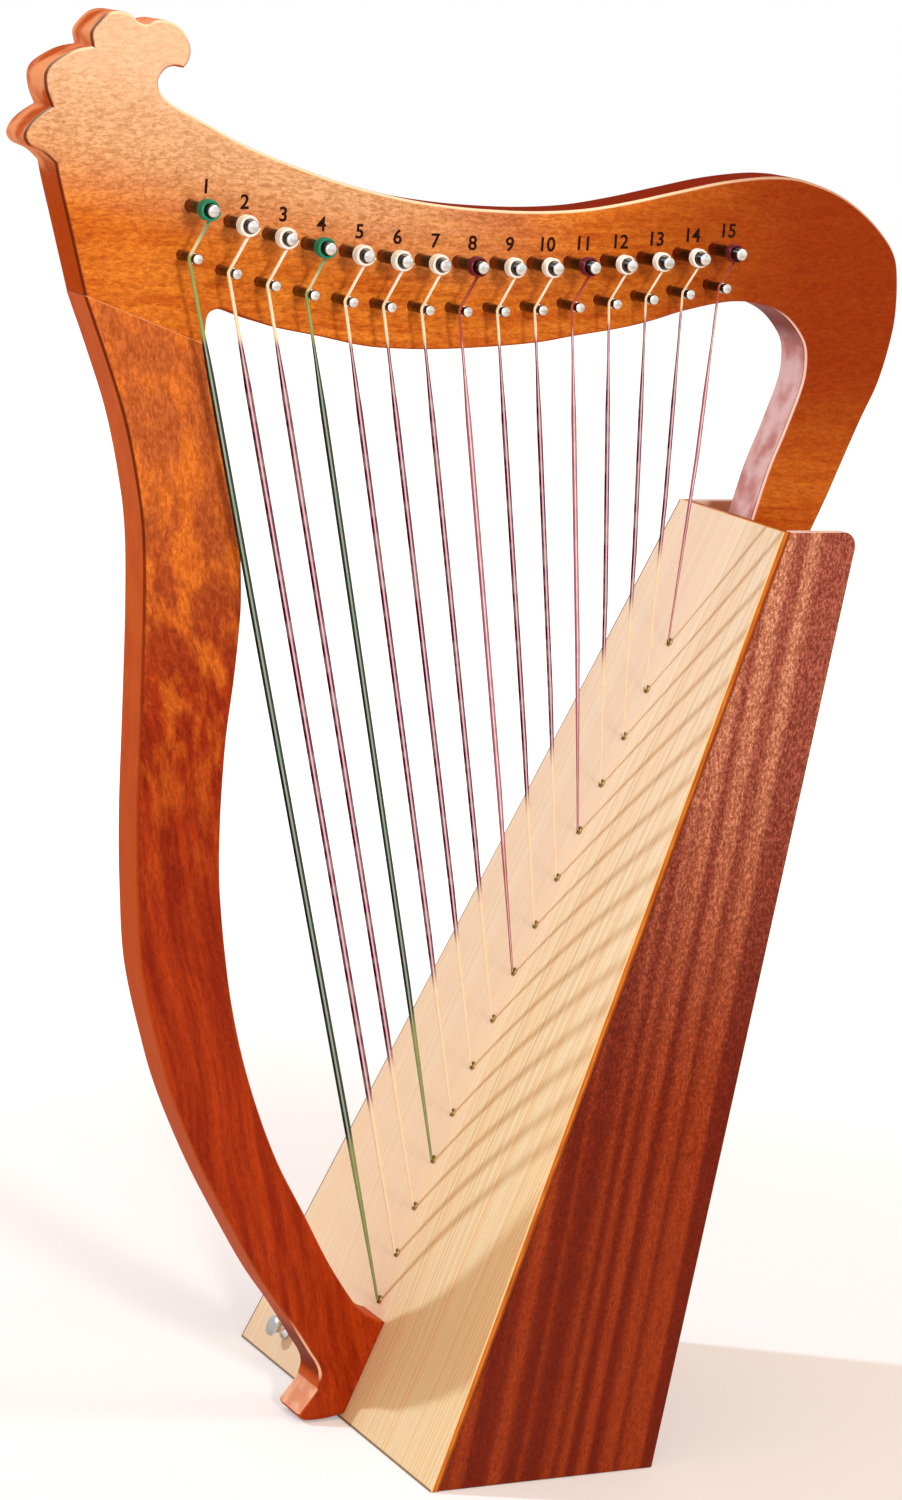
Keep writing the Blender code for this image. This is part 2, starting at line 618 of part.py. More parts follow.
def neck_dowel(neck, pillar, finish, parent):
    """The round dowel hidden in the glue joint between neck and pillar."""
    outer, inner = joint_line()
    middle = Vector(((outer.x + inner.x) / 2, 0.0, (outer.y + inner.y) / 2))
    along = (inner - outer).normalized()
    across = Vector((-along.y, 0.0, along.x))
    half = DOWEL_LENGTH / 2
    profile = [(-half, DOWEL_RADIUS - PIN_CHAMFER), (PIN_CHAMFER - half, DOWEL_RADIUS),
               (half - PIN_CHAMFER, DOWEL_RADIUS), (half, DOWEL_RADIUS - PIN_CHAMFER)]
    piece = add_object("neck_dowel", turned_mesh("neck_dowel", profile, 12), finish, parent)
    stand(piece, middle, across)
    reach = across * (half + SEAM)
    bore = bore_cutter("dowel_bore", [(middle - reach, middle + reach)], DOWEL_RADIUS + SEAT_GAP, 12, parent)
    for side in (neck, pillar):
        cut(side, bore)


def strap_button(finish, parent):
    """The button low on the soundboard, beside the pillar's foot."""
    profile = [(0.0, BUTTON_RADIUS - PIN_CHAMFER), (BUTTON_RIM / 2, BUTTON_RADIUS - PIN_CHAMFER),
               (BUTTON_RIM, BUTTON_NECK_RADIUS), (BUTTON_HEIGHT - 2 * BUTTON_RIM, BUTTON_NECK_RADIUS),
               (BUTTON_HEIGHT - BUTTON_RIM, BUTTON_RADIUS), (BUTTON_HEIGHT - PIN_CHAMFER, BUTTON_RADIUS),
               (BUTTON_HEIGHT, BUTTON_RADIUS - 2 * PIN_CHAMFER)]
    piece = add_object("strap_button", turned_mesh("strap_button", profile, 20), finish, parent)
    side = half_width(BUTTON_PLACE * math.sin(BOARD_ANGLE)) - BUTTON_EDGE_SPACE
    stand(piece, board_point(BUTTON_PLACE, SEAM, side), BOARD_OUT)


# Pins

def pin_rows(neck, finish, parent):
    """Tuning pins that turn in the neck and bridge pins fixed below them, each in a blind bore."""
    tuning_profile = [(-TUNING_SEAT_DEPTH, TUNING_RADIUS - PIN_CHAMFER),
                      (PIN_CHAMFER - TUNING_SEAT_DEPTH, TUNING_RADIUS),
                      (TUNING_OUT - PIN_CHAMFER, TUNING_RADIUS),
                      (TUNING_OUT, TUNING_RADIUS - PIN_CHAMFER)]
    groove = BRIDGE_GROOVE_WIDTH / 2
    bridge_profile = [(-BRIDGE_SEAT_DEPTH, BRIDGE_RADIUS),
                      (BRIDGE_GROOVE_OUT - groove, BRIDGE_RADIUS),
                      (BRIDGE_GROOVE_OUT, BRIDGE_GROOVE_RADIUS),
                      (BRIDGE_GROOVE_OUT + groove, BRIDGE_RADIUS),
                      (BRIDGE_OUT - PIN_CHAMFER, BRIDGE_RADIUS),
                      (BRIDGE_OUT, BRIDGE_RADIUS - PIN_CHAMFER)]
    rows = (("tuning_pin", TUNING_ROW, tuning_profile, TUNING_RADIUS, TUNING_SEAT_DEPTH, RUNNING_GAP, 10),
            ("bridge_pin", BRIDGE_ROW, bridge_profile, BRIDGE_RADIUS, BRIDGE_SEAT_DEPTH, SEAT_GAP, 8))
    for name, row, profile, radius, seat_depth, gap, sides in rows:
        shape = turned_mesh(name, profile, sides)
        shape.materials.append(finish)
        bores = []
        for index in range(STRING_COUNT):
            place = row_point(row, index)
            pin = add_object(f"{name}_{index + 1:02d}", shape, None, parent)
            stand(pin, place, -AXIS_Y)
            bores.append((place - AXIS_Y * radius, place + AXIS_Y * (seat_depth + SEAM)))
        cut(neck, bore_cutter(f"{name}_bores", bores, radius + gap, sides, parent))


# Strings

def left_of(direction):
    """The horizontal-plane normal on the left of a direction in the XZ plane, seen from -Y."""
    return Vector((-direction.z, 0.0, direction.x)).normalized()


def string_route(index):
    """Points and radii of one string, from its knot in the box to its winding on the pin."""
    thin = string_radius(index)
    hole = string_hole(index)
    groove = row_point(BRIDGE_ROW, index) - AXIS_Y * BRIDGE_GROOVE_OUT
    tuner = row_point(TUNING_ROW, index) - AXIS_Y * WINDING_OUT
    layers = BOARD_THICKNESS + RIB_THICKNESS + belly_drop(hole.z) + 2 * SEAM
    knot = [(-layers - KNOT_LENGTH, KNOT_RADIUS / 2), (-layers - KNOT_LENGTH * 0.8, KNOT_RADIUS),
            (-layers - KNOT_LENGTH * 0.3, KNOT_RADIUS), (-layers, thin)]
    points = [hole + BOARD_OUT * out for out, _ in knot] + [hole + BOARD_OUT * 2 * thin]
    radii = [radius for _, radius in knot] + [thin]

    bend = BRIDGE_GROOVE_RADIUS + SEAM + thin
    turn = TUNING_RADIUS + SEAM + thin
    turn = turn / math.cos(math.pi / WINDING_LOOP_POINTS)
    rise = (groove - points[-1]).normalized()
    across = Vector((tuner.x - groove.x, 0.0, tuner.z - groove.z))
    lean = math.asin((bend + turn) / across.length)
    leave = Matrix.Rotation(lean, 3, "Y") @ across.normalized()
    arrive = Vector((rise.x, 0.0, rise.z)).normalized()
    for direction in (arrive, arrive + leave, leave):
        points.append(groove + left_of(direction) * bend)
        radii.append(thin)

    side = -left_of(leave)
    pitch = 2 * thin + WINDING_SPACE
    start = math.atan2(side.z, side.x)
    winding = []
    for step in range(WINDING_LOOPS * WINDING_LOOP_POINTS + 1):
        angle = start + 2 * math.pi * step / WINDING_LOOP_POINTS
        climb = pitch * step / WINDING_LOOP_POINTS
        winding.append(tuner + Vector((turn * math.cos(angle), -climb, turn * math.sin(angle))))
    tail = (winding[-1] - winding[-2]).normalized()
    points += winding + [winding[-1] + tail * 2 * thin]
    radii += [thin] * (len(winding) + 1)
    return points, radii, winding


def belly_drop(z):
    """How much farther back than the centre of the board the rib's front lies."""
    share = RIB_WIDTH / 2 / half_width(z)
    return belly(z) - belly(z, share)


def least_winding_gap(winding, radius):
    """The least space between two turns of a winding, measured on its points."""
    line = np.array([tuple(point) for point in winding])
    least = math.inf
    for index, point in enumerate(line):
        later = line[index + WINDING_LOOP_POINTS // 2 + 1:]
        if len(later) > 1:
            start, run = later[:-1], later[1:] - later[:-1]
            share = np.clip(((point - start) * run).sum(1) / (run * run).sum(1), 0.0, 1.0)
            reach = np.linalg.norm(start + run * share[:, None] - point, axis=1)
            least = min(least, float(reach.min()))
    return least - 2 * radius


def strings(finishes, parent):
    """One unbroken tube for each string; octave notes are coloured so that they can be found."""
    gaps = []
    lengths = []
    for index in range(STRING_COUNT):
        points, radii, winding = string_route(index)
        thin = string_radius(index)
        gaps.append(least_winding_gap(winding, thin))
        lengths.append(sum((b - a).length for a, b in zip(points, points[1:])))
        shape = bpy.data.curves.new(f"string_{index + 1:02d}", "CURVE")
        shape.dimensions = "3D"
        shape.bevel_depth = thin
        shape.bevel_resolution = 1
        shape.use_fill_caps = True
        spline = shape.splines.new("POLY")
        spline.points.add(len(points) - 1)
        for spot, point, radius in zip(spline.points, points, radii):
            spot.co = (*point, 1.0)
            spot.radius = radius / thin
        spline.use_smooth = True
        add_object(shape.name, shape, finishes[string_colour(index)], parent)
    print(f"least gap between the turns of a winding: {min(gaps) * 1000:.2f} mm")
    print("string lengths in mm:", " ".join(f"{length * 1000:.0f}" for length in lengths))


def string_colour(index):
    """Green for the first and fourth strings, red for every eighth and its fourth above, else clear."""
    if index in (0, 3):
        return "green"
    if index in (7, 10, 14):
        return "red"
    return "clear"


def build_harp():
    """Build every piece of the harp."""
    clear_scene()
    mahogany = material("neck_mahogany", (0.48, 0.17, 0.045), 0.38)
    sapele = material("pillar_mahogany", (0.30, 0.075, 0.022), 0.38)
    panel = material("side_sapele", (0.14, 0.030, 0.012), 0.42)
    spruce = material("soundboard_spruce", (0.80, 0.58, 0.33), 0.50)
    maple = material("inner_wood", (0.62, 0.42, 0.22), 0.60)
    nickel = material("pin_nickel", (0.70, 0.70, 0.70), 0.22, 1.0)
    steel = material("screw_steel", (0.45, 0.45, 0.46), 0.35, 1.0)
    nylons = {"clear": material("string_clear", (0.85, 0.80, 0.76), 0.25),
              "green": material("string_green", (0.02, 0.26, 0.14), 0.30),
              "red": material("string_red", (0.30, 0.012, 0.03), 0.30)}

    outline, square_edges = neck_outline()
    reach = [point.x for point in outline]
    harp = add_object("harp", None, None, None)
    harp.location = (-(min(reach) + max(reach)) / 2, 0.0, 0.0)

    neck = plank("neck", outline, square_edges, mahogany, harp)
    pillar = plank("pillar", *pillar_outline(), sapele, harp)
    board = soundboard(spruce, harp)
    side_panels(panel, harp)
    back_panel(panel, harp)
    top_block, foot_block = box_blocks(maple, harp)
    rib = string_rib(maple, harp)
    brace(maple, harp)

    fasten_foot(pillar, board, foot_block, steel, harp)
    fasten_shoulder(neck, top_block, steel, harp)
    neck_dowel(neck, pillar, maple, harp)
    strap_button(nickel, harp)
    pin_rows(neck, nickel, harp)
    strings(nylons, harp)

    bores = []
    for index in range(STRING_COUNT):
        hole = string_hole(index)
        depth = BOARD_THICKNESS + RIB_THICKNESS + BELLY
        bores.append((hole - BOARD_OUT * depth, hole + BOARD_OUT * BOARD_THICKNESS))
    string_bores = bore_cutter("string_bores", bores, STRING_HOLE_RADIUS, 8, harp)
    cut(board, string_bores)
    cut(rib, string_bores)


build_harp()
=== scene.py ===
"""Finished look of the fifteen-string lap harp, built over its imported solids.

Lengths are metres. The outlines repeat the solids' own, with finer steps. While a piece is shaped,
X = 0 is the bottom front edge of the soundboard; SHIFT then moves it to the solids' frame.
"""

import math

import bmesh
import bpy
import numpy as np
from mathutils import Matrix, Vector


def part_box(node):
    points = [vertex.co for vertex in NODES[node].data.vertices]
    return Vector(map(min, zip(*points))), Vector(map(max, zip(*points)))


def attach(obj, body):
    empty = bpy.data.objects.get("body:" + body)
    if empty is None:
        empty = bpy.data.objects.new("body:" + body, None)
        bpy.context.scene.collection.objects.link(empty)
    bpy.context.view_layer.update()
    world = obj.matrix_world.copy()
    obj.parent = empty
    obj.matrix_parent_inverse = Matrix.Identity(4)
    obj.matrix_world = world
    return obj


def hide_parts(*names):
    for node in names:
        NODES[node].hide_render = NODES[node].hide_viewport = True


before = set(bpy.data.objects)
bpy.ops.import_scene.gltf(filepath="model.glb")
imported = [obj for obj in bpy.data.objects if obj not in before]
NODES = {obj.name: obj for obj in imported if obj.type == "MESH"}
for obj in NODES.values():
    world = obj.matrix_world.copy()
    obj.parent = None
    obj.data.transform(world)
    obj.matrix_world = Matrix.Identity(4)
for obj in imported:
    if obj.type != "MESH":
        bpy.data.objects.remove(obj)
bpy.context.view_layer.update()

# Soundbox
BOX_HEIGHT = 0.3755
BOARD_DEGREES = 67.5
BOARD_ANGLE = math.radians(BOARD_DEGREES)
BASE_WIDTH = 0.19
TOP_WIDTH = 0.0866
BASE_DEPTH = 0.1
TOP_DEPTH = 0.0335
BOARD_THICKNESS = 0.0035
SIDE_THICKNESS = 0.005
BACK_THICKNESS = 0.004
TOP_BLOCK_HEIGHT = 0.0205
TOP_BLOCK_RECESS = 0.0055
BOX_CORNER_RADIUS = 0.0055
BELLY = 0.0056
BELLY_SKEW = 0.75
BELLY_FULLNESS = 1.2
BELLY_ABOVE_TOE = 0.001
RIB_WIDTH = 0.018
RIB_THICKNESS = 0.005
SOUND_HOLES = ((0.09, 0.026), (0.18, 0.022), (0.262, 0.018))
PANEL_EDGE_RADIUS = 0.0006
BACK_EDGE_RADIUS = 0.0005
BOARD_EDGE_RADIUS = 0.0004
BLOCK_EDGE_RADIUS = 0.0003

# Neck and pillar planks
PLANK_THICKNESS = 0.021
PLANK_EDGE_RADIUS = 0.0018
GLUE_TRIM = 0.0006
FOOT_CONTACT_START = 0.002
TOE_LENGTH = 0.044
TOE_HEIGHT = 0.0035
FOOT_CLEARANCE = 0.0006
SHOULDER_INNER = 0.003
SHOULDER_WIDTH = 0.0305

# Strings and pins
STRING_COUNT = 15
FIRST_HOLE_SPACE = 0.0508
LAST_HOLE_SPACE = 0.0574
STRING_HOLE_RADIUS = 0.0011
EYELET_FLANGE = 0.0007
LONG_STRING_RADIUS = 0.0006
SHORT_STRING_RADIUS = 0.0004
# How much thicker a string is drawn, over the wood and on its free run, and where along it that changes
HELD_SWELL = 1.2
FREE_SWELL = 2.3
SWELL_STARTS = (0.0006, 0.02, 0.08)
SWELL_ENDS = (0.045, 0.022)
KNOT_RADIUS = 0.0014
KNOT_LENGTH = 0.003
KNOT_FULLNESS = 0.6
BRIDGE_RADIUS = 0.002
BRIDGE_GROOVE_RADIUS = 0.0014
BRIDGE_GROOVE_OUT = 0.0135
GROOVE_HALF_WIDTH = 0.0012
BRIDGE_OUT = 0.017
BRIDGE_SEAT_DEPTH = 0.011
TUNING_RADIUS = 0.0025
TUNING_OUT = 0.0235
TUNING_SEAT_DEPTH = 0.0165
WINDING_OUT = 0.015
WINDING_LOOPS = 3
WINDING_SPACE = 0.0006
SEAM = 0.0003
RUNNING_GAP = 0.0001

# Strap button and printed numbers
BUTTON_PLACE = 0.015
BUTTON_EDGE_SPACE = 0.032
BUTTON_RADIUS = 0.0045
BUTTON_NECK_RADIUS = 0.0022
BUTTON_HEIGHT = 0.008
BUTTON_RIM = 0.0018
NUMBER_SIZE = 0.0078
NUMBER_WEIGHT = 0.00017
NUMBER_DEPTH = 0.00003
FACE_GAP = 0.00005
NUMBER_PLACE = Vector((0.0059, -FACE_GAP, 0.0072))

# Steps of the finished shapes, and how far a cutter reaches past a face
FINE_STEP = 0.0012
NEARLY_STRAIGHT = 0.97
SHARP_ANGLE = 30.0
LOOP_POINTS = 24
BEND_STEPS = 8
CORNER_STEPS = 10
ROUNDING_STEPS = 5
BOARD_ROWS = 40
BOARD_COLUMNS = 20
PIN_SIDES = 32
BUTTON_SIDES = 48
EYELET_SIDES = 20
STRING_HOLE_SIDES = 16
SOUND_HOLE_SIDES = 64
CUT_BEYOND = 0.002

# Camera and floor
CAMERA_SENSOR = 36.0
CAMERA_LENS = 103.83
CAMERA_PLACE = Vector((-0.740807, -1.536098, 0.626255))
CAMERA_AXES = Matrix(((0.8968605, -0.4369957, 0.0683815), (0.0264887, 0.2073863, 0.9779005),
                      (-0.4415196, -0.875229, 0.197572)))
FLOOR_SIZE = 4.0
FLOOR_GAP = 0.0002

# Neck outline, as (x, z) from the top front corner of the soundboard. Each stretch is smooth and
# starts where the one before it ends.
JOINT_OUTER = (-0.2945, 0.0865)
JOINT_INNER = (-0.244, 0.0685)
NECK_OUTER_SIDE = [JOINT_OUTER, (-0.302, 0.1115), (-0.307, 0.128), (-0.309, 0.1355)]
LOWER_LOBE = [
    (-0.314, 0.1395), (-0.32, 0.142), (-0.322, 0.1455), (-0.32, 0.15), (-0.3155, 0.154),
    (-0.3115, 0.1565)]
MIDDLE_LOBE = [
    (-0.314, 0.162), (-0.315, 0.1675), (-0.3135, 0.1715), (-0.309, 0.175), (-0.303, 0.178),
    (-0.2965, 0.1795)]
UPPER_LOBE = [
    (-0.2975, 0.1845), (-0.295, 0.1885), (-0.291, 0.192), (-0.286, 0.193), (-0.2815, 0.192),
    (-0.2785, 0.1895), (-0.2755, 0.1885)]
BEAK = [
    (-0.272, 0.19), (-0.2675, 0.1905), (-0.262, 0.1885), (-0.2585, 0.185), (-0.2565, 0.18),
    (-0.257, 0.176), (-0.259, 0.173)]
HOOK = [
    (-0.2625, 0.1735), (-0.266, 0.1725), (-0.2685, 0.1695), (-0.269, 0.1665), (-0.2675, 0.163),
    (-0.264, 0.16), (-0.2595, 0.1575)]
NECK_TOP = [
    (-0.2515, 0.154), (-0.233, 0.1455), (-0.2145, 0.139), (-0.19, 0.132), (-0.165, 0.127),
    (-0.1435, 0.1245), (-0.1235, 0.1235), (-0.1035, 0.1235), (-0.0835, 0.125), (-0.0635, 0.1285),
    (-0.0435, 0.133), (-0.023, 0.1375), (-0.0055, 0.14), (0.006, 0.1405), (0.016, 0.1395),
    (0.0315, 0.135), (0.0445, 0.128), (0.0555, 0.119), (0.0625, 0.11), (0.065, 0.099),
    (0.0655, 0.084), (0.0635, 0.0705), (0.0595, 0.056), (0.053, 0.0415), (0.045, 0.022),
    (0.04, 0.0095)]
NECK_UNDERSIDE = [
    (0.01, 0.02), (0.016, 0.036), (0.022, 0.0535), (0.0235, 0.0625), (0.0225, 0.0715),
    (0.018, 0.0785), (0.011, 0.0845), (0.001, 0.0885), (-0.009, 0.0895), (-0.0195, 0.0885),
    (-0.0355, 0.085), (-0.049, 0.081), (-0.064, 0.0775), (-0.085, 0.074), (-0.099, 0.0715),
    (-0.1185, 0.0695), (-0.1435, 0.068), (-0.163, 0.068), (-0.1775, 0.069), (-0.197, 0.0725),
    (-0.216, 0.0757), (-0.2305, 0.08), (-0.2375, 0.082), (-0.2415, 0.0815), (-0.2437, 0.0785),
    JOINT_INNER]

# Pillar edges, as (height, x from the line foot to joint), drawn for a joint at PILLAR_DRAWN_HEIGHT
PILLAR_DRAWN_HEIGHT = 0.4529
PILLAR_OUTER = [
    (0.4384, -0.019), (0.4162, -0.016), (0.3922, -0.0155), (0.37, -0.017), (0.3401, -0.0225),
    (0.2998, -0.0315), (0.2582, -0.041), (0.226, -0.047), (0.1952, -0.051), (0.163, -0.05),
    (0.1404, -0.0475), (0.1119, -0.041), (0.087, -0.033), (0.0639, -0.0245), (0.0466, -0.016)]
PILLAR_INNER = [
    (0.0566, 0.012), (0.0697, 0.0065), (0.0915, -0.0005), (0.1128, -0.0075), (0.1354, -0.012),
    (0.1581, -0.0145), (0.1803, -0.015), (0.1997, -0.014), (0.2165, -0.0125), (0.2323, -0.0105),
    (0.2477, -0.0075), (0.2649, -0.0035), (0.289, 0.003), (0.3116, 0.0105), (0.3297, 0.016),
    (0.3451, 0.02), (0.3682, 0.0235), (0.3936, 0.024), (0.4189, 0.023)]
SCROLL_HOLLOW = [(-0.0172, 0.0311), (-0.013, 0.025), (-0.0113, 0.02), (-0.0123, 0.0138)]
SCROLL_BOTTOM = [(-0.0198, 0.004), (-0.0176, 0.0013), (-0.0125, FOOT_CLEARANCE), (-0.006, 0.0009)]
TOE_ROUND = [(0.0446, 0.0093), (0.0463, 0.0149)]
HOLLOW_CLEARING = 0.003
SCROLL_CLEARING = 0.002

# Rows of pins, as (x, z) from the top front corner of the soundboard
TUNING_ROW = [
    (-0.2535, 0.1215), (-0.2055, 0.1087), (-0.1395, 0.1028), (-0.0745, 0.1049), (-0.0239, 0.1107)]
BRIDGE_ROW = [
    (-0.2562, 0.1027), (-0.2075, 0.0901), (-0.1475, 0.0849), (-0.0855, 0.088), (-0.0258, 0.0963)]

BOARD_UP = Vector((math.cos(BOARD_ANGLE), 0.0, math.sin(BOARD_ANGLE)))
BOARD_OUT = Vector((-math.sin(BOARD_ANGLE), 0.0, math.cos(BOARD_ANGLE)))
BOARD_TOP = Vector((BOX_HEIGHT / math.tan(BOARD_ANGLE), 0.0, BOX_HEIGHT))
BLOCK_TOP = BOX_HEIGHT - TOP_BLOCK_RECESS
BLOCK_BOTTOM = BLOCK_TOP - TOP_BLOCK_HEIGHT
AXIS_Y = Vector((0.0, 1.0, 0.0))
FACE_Y = -PLANK_THICKNESS / 2
BELLY_BOTTOM = TOE_LENGTH * math.sin(BOARD_ANGLE) + BELLY_ABOVE_TOE
SHIFT = Vector((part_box("soundboard")[0][0], 0.0, 0.0))


# Mesh helpers

def linked(name, data):
    """Add an object to the scene."""
    made = bpy.data.objects.new(name, data)
    bpy.context.scene.collection.objects.link(made)
    return made


def piece(name, shape, finish, *stands_for, body="harp", sharp=SHARP_ANGLE):
    """Add a finished piece, from a bmesh or a curve, that rides on a body and stands for solids."""
    data = mesh_from(name, shape, sharp) if isinstance(shape, bmesh.types.BMesh) else shape
    made = linked(name, data)
    for shade in finish if isinstance(finish, tuple) else (finish,):
        data.materials.append(shade)
    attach(made, body)
    if stands_for:
        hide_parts(*stands_for)
    return made


def smooth_shading(data, sharp):
    """Shade a mesh smoothly, with sharp edges from an angle in degrees."""
    data.shade_smooth()
    data.set_sharp_from_angle(angle=math.radians(sharp))


def mesh_from(name, bm, sharp=SHARP_ANGLE):
    """Turn a bmesh into a smooth-shaded mesh, moved to the solids' frame."""
    bmesh.ops.recalc_face_normals(bm, faces=bm.faces)
    bmesh.ops.translate(bm, vec=SHIFT, verts=bm.verts)
    data = bpy.data.meshes.new(name)
    bm.to_mesh(data)
    bm.free()
    smooth_shading(data, sharp)
    return data


def stack(bm, rings, ends=True):
    """Add a closed body through rings of equally many points, with flat ends or joined end to end."""
    layers = [[bm.verts.new(point) for point in ring] for ring in rings]
    if ends:
        bm.faces.new(layers[0])
        bm.faces.new(layers[-1])
    else:
        layers.append(layers[0])
    for lower, upper in zip(layers, layers[1:]):
        for index in range(len(lower)):
            after = (index + 1) % len(lower)
            bm.faces.new((lower[index], lower[after], upper[after], upper[index]))


def around(place, direction, radius, height, sides):
    """Points of a circle about a direction from a place."""
    turn = Vector((0.0, 0.0, 1.0)).rotation_difference(direction).to_matrix()
    angles = [2 * math.pi * index / sides for index in range(sides)]
    return [place + turn @ Vector((radius * math.cos(angle), radius * math.sin(angle), height))
            for angle in angles]


def turned(bm, profile, sides, place, direction):
    """Add a closed turned body from (height, radius) pairs, along a direction from a place."""
    stack(bm, [around(place, direction, radius, height, sides) for height, radius in profile])


def bores(name, runs, radius, sides):
    """A throwaway cutter with one cylinder for each run."""
    bm = bmesh.new()
    for start, end in runs:
        direction = end - start
        turned(bm, [(0.0, radius), (direction.length, radius)], sides, start, direction.normalized())
    return linked(name, mesh_from(name, bm))


def carve(target, cutters):
    """Subtract cutters from a piece, keep the result and drop the cutters."""
    for cutter in cutters:
        step = target.modifiers.new("carve", "BOOLEAN")
        step.object = cutter
        step.operation = "DIFFERENCE"
    bpy.context.view_layer.update()
    data = bpy.data.meshes.new_from_object(target.evaluated_get(bpy.context.evaluated_depsgraph_get()))
    data.name = target.name
    target.modifiers.clear()
    target.data = data
    smooth_shading(data, SHARP_ANGLE)
    for cutter in cutters:
        bpy.data.objects.remove(cutter, do_unlink=True)


def even_shading(target):
    """Keep flat faces flat where they meet a rounded edge."""
    step = target.modifiers.new("shading", "WEIGHTED_NORMAL")
    step.keep_sharp = True


def soften(target, radius=PANEL_EDGE_RADIUS):
    """Round a panel's edges slightly."""
    step = target.modifiers.new("edges", "BEVEL")
    step.width = radius
    step.segments = 3
    step.limit_method = "ANGLE"
    step.angle_limit = math.radians(40)
    even_shading(target)


# Outlines

def smooth_line(points, step=FINE_STEP):
    """Points along a smooth curve through the given points, about a step apart."""
    knots = [Vector(point) for point in points]
    knots = [2 * knots[0] - knots[1]] + knots + [2 * knots[-1] - knots[-2]]
    line = [knots[1]]
    for before, start, end, after in zip(knots, knots[1:], knots[2:], knots[3:]):
        count = max(1, round((end - start).length / step))
        for index in range(1, count + 1):
            t = index / count
            line.append(0.5 * (2 * start + (end - before) * t
                               + (2 * before - 5 * start + 4 * end - after) * t ** 2
                               + (3 * start - before - 3 * end + after) * t ** 3))
    return line


def inset(outline, depths):
    """The outline moved inwards, the edge that starts at each point by its own depth."""
    corners = np.array([tuple(point) for point in outline])
    runs = np.roll(corners, -1, axis=0) - corners
    area = (corners[:, 0] * np.roll(corners[:, 1], -1) - np.roll(corners[:, 0], -1) * corners[:, 1]).sum()
    inward = np.stack((-runs[:, 1], runs[:, 0]), axis=1) * (1.0 if area > 0 else -1.0)
    inward /= np.linalg.norm(inward, axis=1)[:, None]
    moved = []
    for index, corner in enumerate(corners):
        before, after = inward[index - 1], inward[index]
        if before @ after > NEARLY_STRAIGHT:
            moved.append(corner + (before + after) / 2 * depths[index])
        else:
            sides = np.array((before, after))
            moved.append(corner + np.linalg.solve(sides, (depths[index - 1], depths[index])))
    return moved


def plank(name, outline, square_edges, finish, node):
    """A plank cut to an outline, its long edges rounded over except at the square ends."""
    turn = [math.radians(90 * step / ROUNDING_STEPS) for step in range(ROUNDING_STEPS + 1)]
    levels = [(1 - math.sin(angle), math.cos(angle)) for angle in turn]
    rings = []
    for side in (-1, 1):
        for inwards, outwards in levels[::-side]:
            depths = [0.0 if index in square_edges else PLANK_EDGE_RADIUS * inwards
                      for index in range(len(outline))]
            y = side * (PLANK_THICKNESS / 2 - PLANK_EDGE_RADIUS * (1 - outwards))
            rings.append([(x, y, z) for x, z in inset(outline, depths)])
    bm = bmesh.new()
    stack(bm, rings)
    return piece(name, bm, finish, node)


def half_width(z):
    """Half the soundbox's outside width at a height."""
    return (BASE_WIDTH - (BASE_WIDTH - TOP_WIDTH) * z / BOX_HEIGHT) / 2


def inside_width(z):
    """Half the room between the side panels at a height, less a seam."""
    return half_width(z) - SIDE_THICKNESS - SEAM


def board_slope(depth):
    """How far back along X a depth measured square to the soundboard reaches."""
    return depth / math.sin(BOARD_ANGLE)


def belly(z, share=0.0):
    """How far the soundboard bulges at a height, and at a share of its half width."""
    place = max(0.0, (z - BELLY_BOTTOM) / (BOX_HEIGHT - BELLY_BOTTOM))
    along = max(0.0, math.sin(math.pi * place ** BELLY_SKEW)) ** BELLY_FULLNESS
    return BELLY * along * (1 - share ** 2)


def board_face(z, depth=0.0, share=0.0):
    """X of the soundboard's face at a height, or of a layer some depth behind it."""
    return z / math.tan(BOARD_ANGLE) + board_slope(depth - belly(z, share))


def board_point(up, out, y=0.0):
    """A point a distance up the flat soundboard plane and a height off it."""
    return BOARD_UP * up + BOARD_OUT * out + AXIS_Y * y


def back_face(z, depth=0.0):
    """X of the soundbox's back face at a height, or of a layer some depth inside it."""
    top = BOARD_TOP.x + TOP_DEPTH
    lean = (top - BASE_DEPTH) / BOX_HEIGHT
    return BASE_DEPTH + lean * z - depth * math.hypot(1.0, lean)


def string_hole(index):
    """The point where a string leaves the bellied soundboard."""
    length = BOX_HEIGHT / math.sin(BOARD_ANGLE)
    step = (length - FIRST_HOLE_SPACE - LAST_HOLE_SPACE) / (STRING_COUNT - 1)
    z = (FIRST_HOLE_SPACE + step * index) * math.sin(BOARD_ANGLE)
    return Vector((board_face(z), 0.0, z))


def row_point(row, index):
    """A pin's place on the neck's front face, on the smooth curve of its row."""
    reach = [point[0] for point in row]
    curve = np.polyfit(reach, [point[1] for point in row], len(row) - 1)
    x = reach[0] + (reach[-1] - reach[0]) * index / (STRING_COUNT - 1)
    return BOARD_TOP + Vector((x, FACE_Y, float(np.polyval(curve, x))))


def string_radius(index):
    """Strings get thinner from the longest to the shortest."""
    return LONG_STRING_RADIUS + (SHORT_STRING_RADIUS - LONG_STRING_RADIUS) * index / (STRING_COUNT - 1)


def from_board_top(points):
    """Outline points given from the soundboard's top front corner."""
    return [Vector((BOARD_TOP.x + x, BOARD_TOP.z + z)) for x, z in points]


def joint_line(drop=0.0):
    """The two ends of the glue joint between neck and pillar, moved down across it by a drop."""
    outer, inner = from_board_top([JOINT_OUTER, JOINT_INNER])
    along = (inner - outer).normalized()
    across = Vector((along.y, -along.x))
    return outer + across * drop, inner + across * drop


